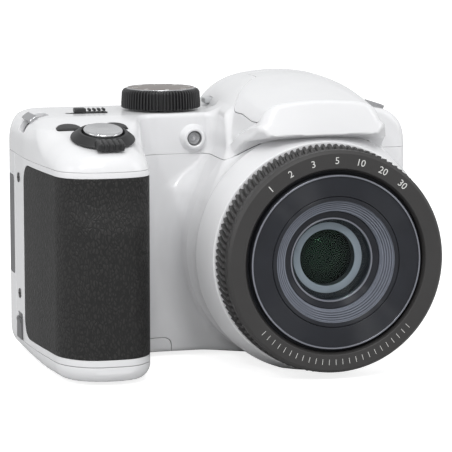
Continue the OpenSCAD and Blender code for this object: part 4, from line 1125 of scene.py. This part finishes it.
# Shutter button and zoom lever
SHUTTER_AT = (-61.0, WALL_Y - 22)
on_grip = sloped(*SHUTTER_AT)
lever = lathe("lever_ring", [
    (4.5, -3.4, 0.1), (5.05, -3.4, 0.1), (5.05, 0.25, 0.1), (9.1, 0.25, 0.25), (9.0, 0.8, 0.4),
    (6.9, 2.5, 0.5), (6.1, 2.6, 0.3), (5.85, 1.0, 0.1), (4.5, 1.0, 0.1),
], BLACK, "lever", on_grip, 96)
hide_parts("zoom_lever")
shutter = lathe("shutter_key", [
    (0, -4.4, 0), (4.4, -4.4, 0.1), (4.4, 1.9, 0.1), (5.5, 1.9, 0.1), (5.5, 3.1, 0.35), (5.0, 3.3, 0.2),
    (4.4, 3.15, 0.5), (2.4, 2.75, 4), (0, 2.65, 0),
], POLISHED, "shutter", on_grip, 96)
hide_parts("shutter_button")
TAB_HALF = 3.9
block("lever_tab", (-TAB_HALF, -11.3, 0.5), (TAB_HALF, -6.6, 2.5), BLACK, "lever", on_grip, 0.5)
for k in range(5):
    x = -TAB_HALF + 0.75 + k * (2 * TAB_HALF - 1.5) / 4
    block(f"tab_ridge_{k}", (x - 0.58, -11.6, 0.7), (x + 0.58, -7.0, 2.85), BLACK, "lever", on_grip, 0.35, 3)
for name, x, body in zip(("top_button_left", "top_button_right"), BUTTON_X, ("left_button", "right_button")):
    key = stud(f"{name}_cap", BUTTON_FORM, BUTTON_LEVELS, BLACK, body, sloped(x, WALL_Y - BUTTON_AHEAD))
    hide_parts(name)

# Flash release
release = block("release_key", (RELEASE_X[0], RELEASE_Y - 2, RELEASE_Z - 0.8),
                (RELEASE_X[1], RELEASE_Y + 2, RELEASE_Z + 0.8), KEY, "release", None, 0.3)
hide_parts("flash_release")

# Flash well under the lid, with the hinge
HINGE = (1.0, 79.7)
WELL_X = 16
(_, well_front, well_z), (_, well_back, _) = node_box("flash_well")
well = block("well_floor", (-WELL_X, well_front, well_z), (WELL_X, well_back, well_z + 1), BLACK, "camera")
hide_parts("flash_well")
for end, x in (("left", -WELL_X), ("right", WELL_X - 1)):
    block(f"well_wall_{end}", (x, well_front, well_z), (x + 1, well_back, 73), BLACK, "camera")
block("well_wall_back", (-WELL_X, well_back - 1, well_z), (WELL_X, well_back, 76), BLACK, "camera")
for end, x in (("left", -8.9), ("right", 7.5)):
    block(f"hinge_post_{end}", (x, -0.6, well_z), (x + 1.4, 2.6, HINGE[1] + 0.5), BLACK, "camera", None, 0.6)
on_hinge = lambda p: np.stack([p[..., 2], HINGE[0] + p[..., 0], HINGE[1] + p[..., 1]], -1)
rod = lathe("hinge_rod", [(0, -9.1, 0), (0.45, -9.1, 0.1), (0.45, 9.1, 0.1), (0, 9.1, 0)], STEEL, "camera",
            on_hinge, 24)
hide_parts("flash_hinge_pin")

# Power switch in its tray
block("switch_tray", (switch_low[0] - 2.8, switch_low[1] - 0.4, SHOULDER_Z - 1.6),
      (switch_high[0] + 0.4, switch_high[1] + 0.4, SHOULDER_Z - 0.75), BLACK, "camera", None, 0.1)
slider = block("switch_knob", (switch_low[0], switch_low[1], SHOULDER_Z - 0.6),
               (switch_low[0] + 3.3, switch_high[1], SHOULDER_Z + 0.85), BLACK, "switch", None, 0.35)
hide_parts("power_switch")
block("switch_plate", (switch_low[0] + 2, switch_low[1], SHOULDER_Z - 0.65),
      (switch_high[0], switch_high[1], SHOULDER_Z - 0.3), BLACK, "switch", None, 0.15)
for k in range(4):
    x = switch_low[0] + 4.5 + k * 1.4
    block(f"switch_ridge_{k}", (x - 0.33, switch_low[1] + 0.1, SHOULDER_Z - 0.1),
          (x + 0.33, switch_high[1] - 0.1, SHOULDER_Z + 0.7), BLACK, "switch", None, 0.3)


# Stage: camera, floor, world and lamps
def aim(thing, place, target):
    thing.location = Vector(place)
    thing.rotation_euler = (Vector(target) - Vector(place)).to_track_quat("-Z", "Y").to_euler()


camera = bpy.data.objects.new("camera_view", bpy.data.cameras.new("camera_view"))
bpy.context.scene.collection.objects.link(camera)
camera.data.sensor_width = 36
camera.data.lens = 207.08
camera.data.clip_end = 20
VIEW_FROM = Vector((-0.2166, -0.7376, 0.1510))
aim(camera, VIEW_FROM, VIEW_FROM + Vector((0.2593, 0.9542, -0.1495)))
bpy.context.scene.camera = camera


def make_floor():
    """Pale floor that shows the shadow of the camera."""
    mesh = bpy.data.meshes.new("floor")
    reach = 3.0
    mesh.from_pydata([(-reach, -reach, 0), (reach, -reach, 0), (reach, reach, 0), (-reach, reach, 0)], [],
                     [(0, 1, 2, 3)])
    floor = bpy.data.objects.new("floor", mesh)
    bpy.context.scene.collection.objects.link(floor)
    floor.location.z = -0.0006
    made, tree, link = new_material("pale_floor")
    shader = tree.nodes["Principled BSDF"]
    shader.inputs["Base Color"].default_value = (0.6, 0.6, 0.6, 1)
    shader.inputs["Roughness"].default_value = 0.9
    shader.inputs["Specular IOR Level"].default_value = 0.0
    glow = node(tree, "ShaderNodeEmission", Strength=0.8)
    both = node(tree, "ShaderNodeAddShader")
    link(shader.outputs[0], both.inputs[0])
    link(glow.outputs[0], both.inputs[1])
    path = node(tree, "ShaderNodeLightPath")
    mix = node(tree, "ShaderNodeMixShader")
    link(path.outputs["Is Camera Ray"], mix.inputs[0])
    link(shader.outputs[0], mix.inputs[1])
    link(both.outputs[0], mix.inputs[2])
    link(mix.outputs[0], tree.nodes["Material Output"].inputs["Surface"])
    mesh.materials.append(made)


def ramp(tree, value, low, high, start, end):
    """Smooth change of a value from start to end between two limits."""
    made = node(tree, "ShaderNodeMapRange", From_Min=low, From_Max=high, To_Min=start, To_Max=end)
    made.interpolation_type = "SMOOTHSTEP"
    tree.links.new(value, made.inputs["Value"])
    return made.outputs["Result"]


def make_world():
    """White backdrop, and a white tent for the light: bright above, dark where the photographer stands."""
    world = bpy.data.worlds.new("studio")
    bpy.context.scene.world = world
    world.use_nodes = True
    tree = world.node_tree
    link = tree.links.new
    seen = tree.nodes["Background"]
    seen.inputs["Color"].default_value = (1, 1, 1, 1)
    seen.inputs["Strength"].default_value = 1.0
    tent = node(tree, "ShaderNodeBackground", Color=(0.98, 0.99, 1, 1))
    where = node(tree, "ShaderNodeTexCoord")
    split = node(tree, "ShaderNodeSeparateXYZ")
    link(where.outputs["Generated"], split.inputs[0])
    shade = node(tree, "ShaderNodeMath")
    shade.operation = "MULTIPLY"
    link(ramp(tree, split.outputs["Z"], -0.1, 0.8, TENT["low"], TENT["high"]), shade.inputs[0])
    link(ramp(tree, split.outputs["Y"], -1.0, -0.3, TENT["front"], 1.0), shade.inputs[1])
    light = node(tree, "ShaderNodeMath")
    light.operation = "MAXIMUM"
    link(shade.outputs[0], light.inputs[0])
    link(ramp(tree, split.outputs["Y"], 0.2, 0.7, 0.0, TENT["back"]), light.inputs[1])
    link(light.outputs[0], tent.inputs["Strength"])
    path = node(tree, "ShaderNodeLightPath")
    mix = node(tree, "ShaderNodeMixShader")
    link(path.outputs["Is Camera Ray"], mix.inputs[0])
    link(tent.outputs[0], mix.inputs[1])
    link(seen.outputs[0], mix.inputs[2])
    link(mix.outputs[0], tree.nodes["World Output"].inputs["Surface"])


def softbox(name, place, target, size, power):
    """Rectangular soft light."""
    light = bpy.data.lights.new(name, "AREA")
    light.shape = "RECTANGLE"
    light.size, light.size_y = size
    light.energy = power
    lamp_object = bpy.data.objects.new(name, light)
    bpy.context.scene.collection.objects.link(lamp_object)
    aim(lamp_object, place, target)


TENT = {"low": 0.66, "high": 0.60, "front": 0.9, "back": 0.7}
make_floor()
make_world()
CENTRE = (-0.02, -0.02, 0.04)
softbox("key_box", (-0.16, -0.74, 0.84), CENTRE, (0.4, 0.4), 3.6)
softbox("spark_box", (-0.55, -0.70, 0.68), CENTRE, (0.08, 0.08), 1.5)
softbox("top_box", (0.0, -0.2, 0.9), CENTRE, (0.8, 0.6), 1.0)
softbox("left_box", (-0.9, -0.2, 0.4), CENTRE, (0.5, 0.5), 1.2)
softbox("right_box", (0.9, -0.45, 0.5), CENTRE, (0.4, 0.6), 1.9)
bpy.context.scene.view_settings.view_transform = "Standard"
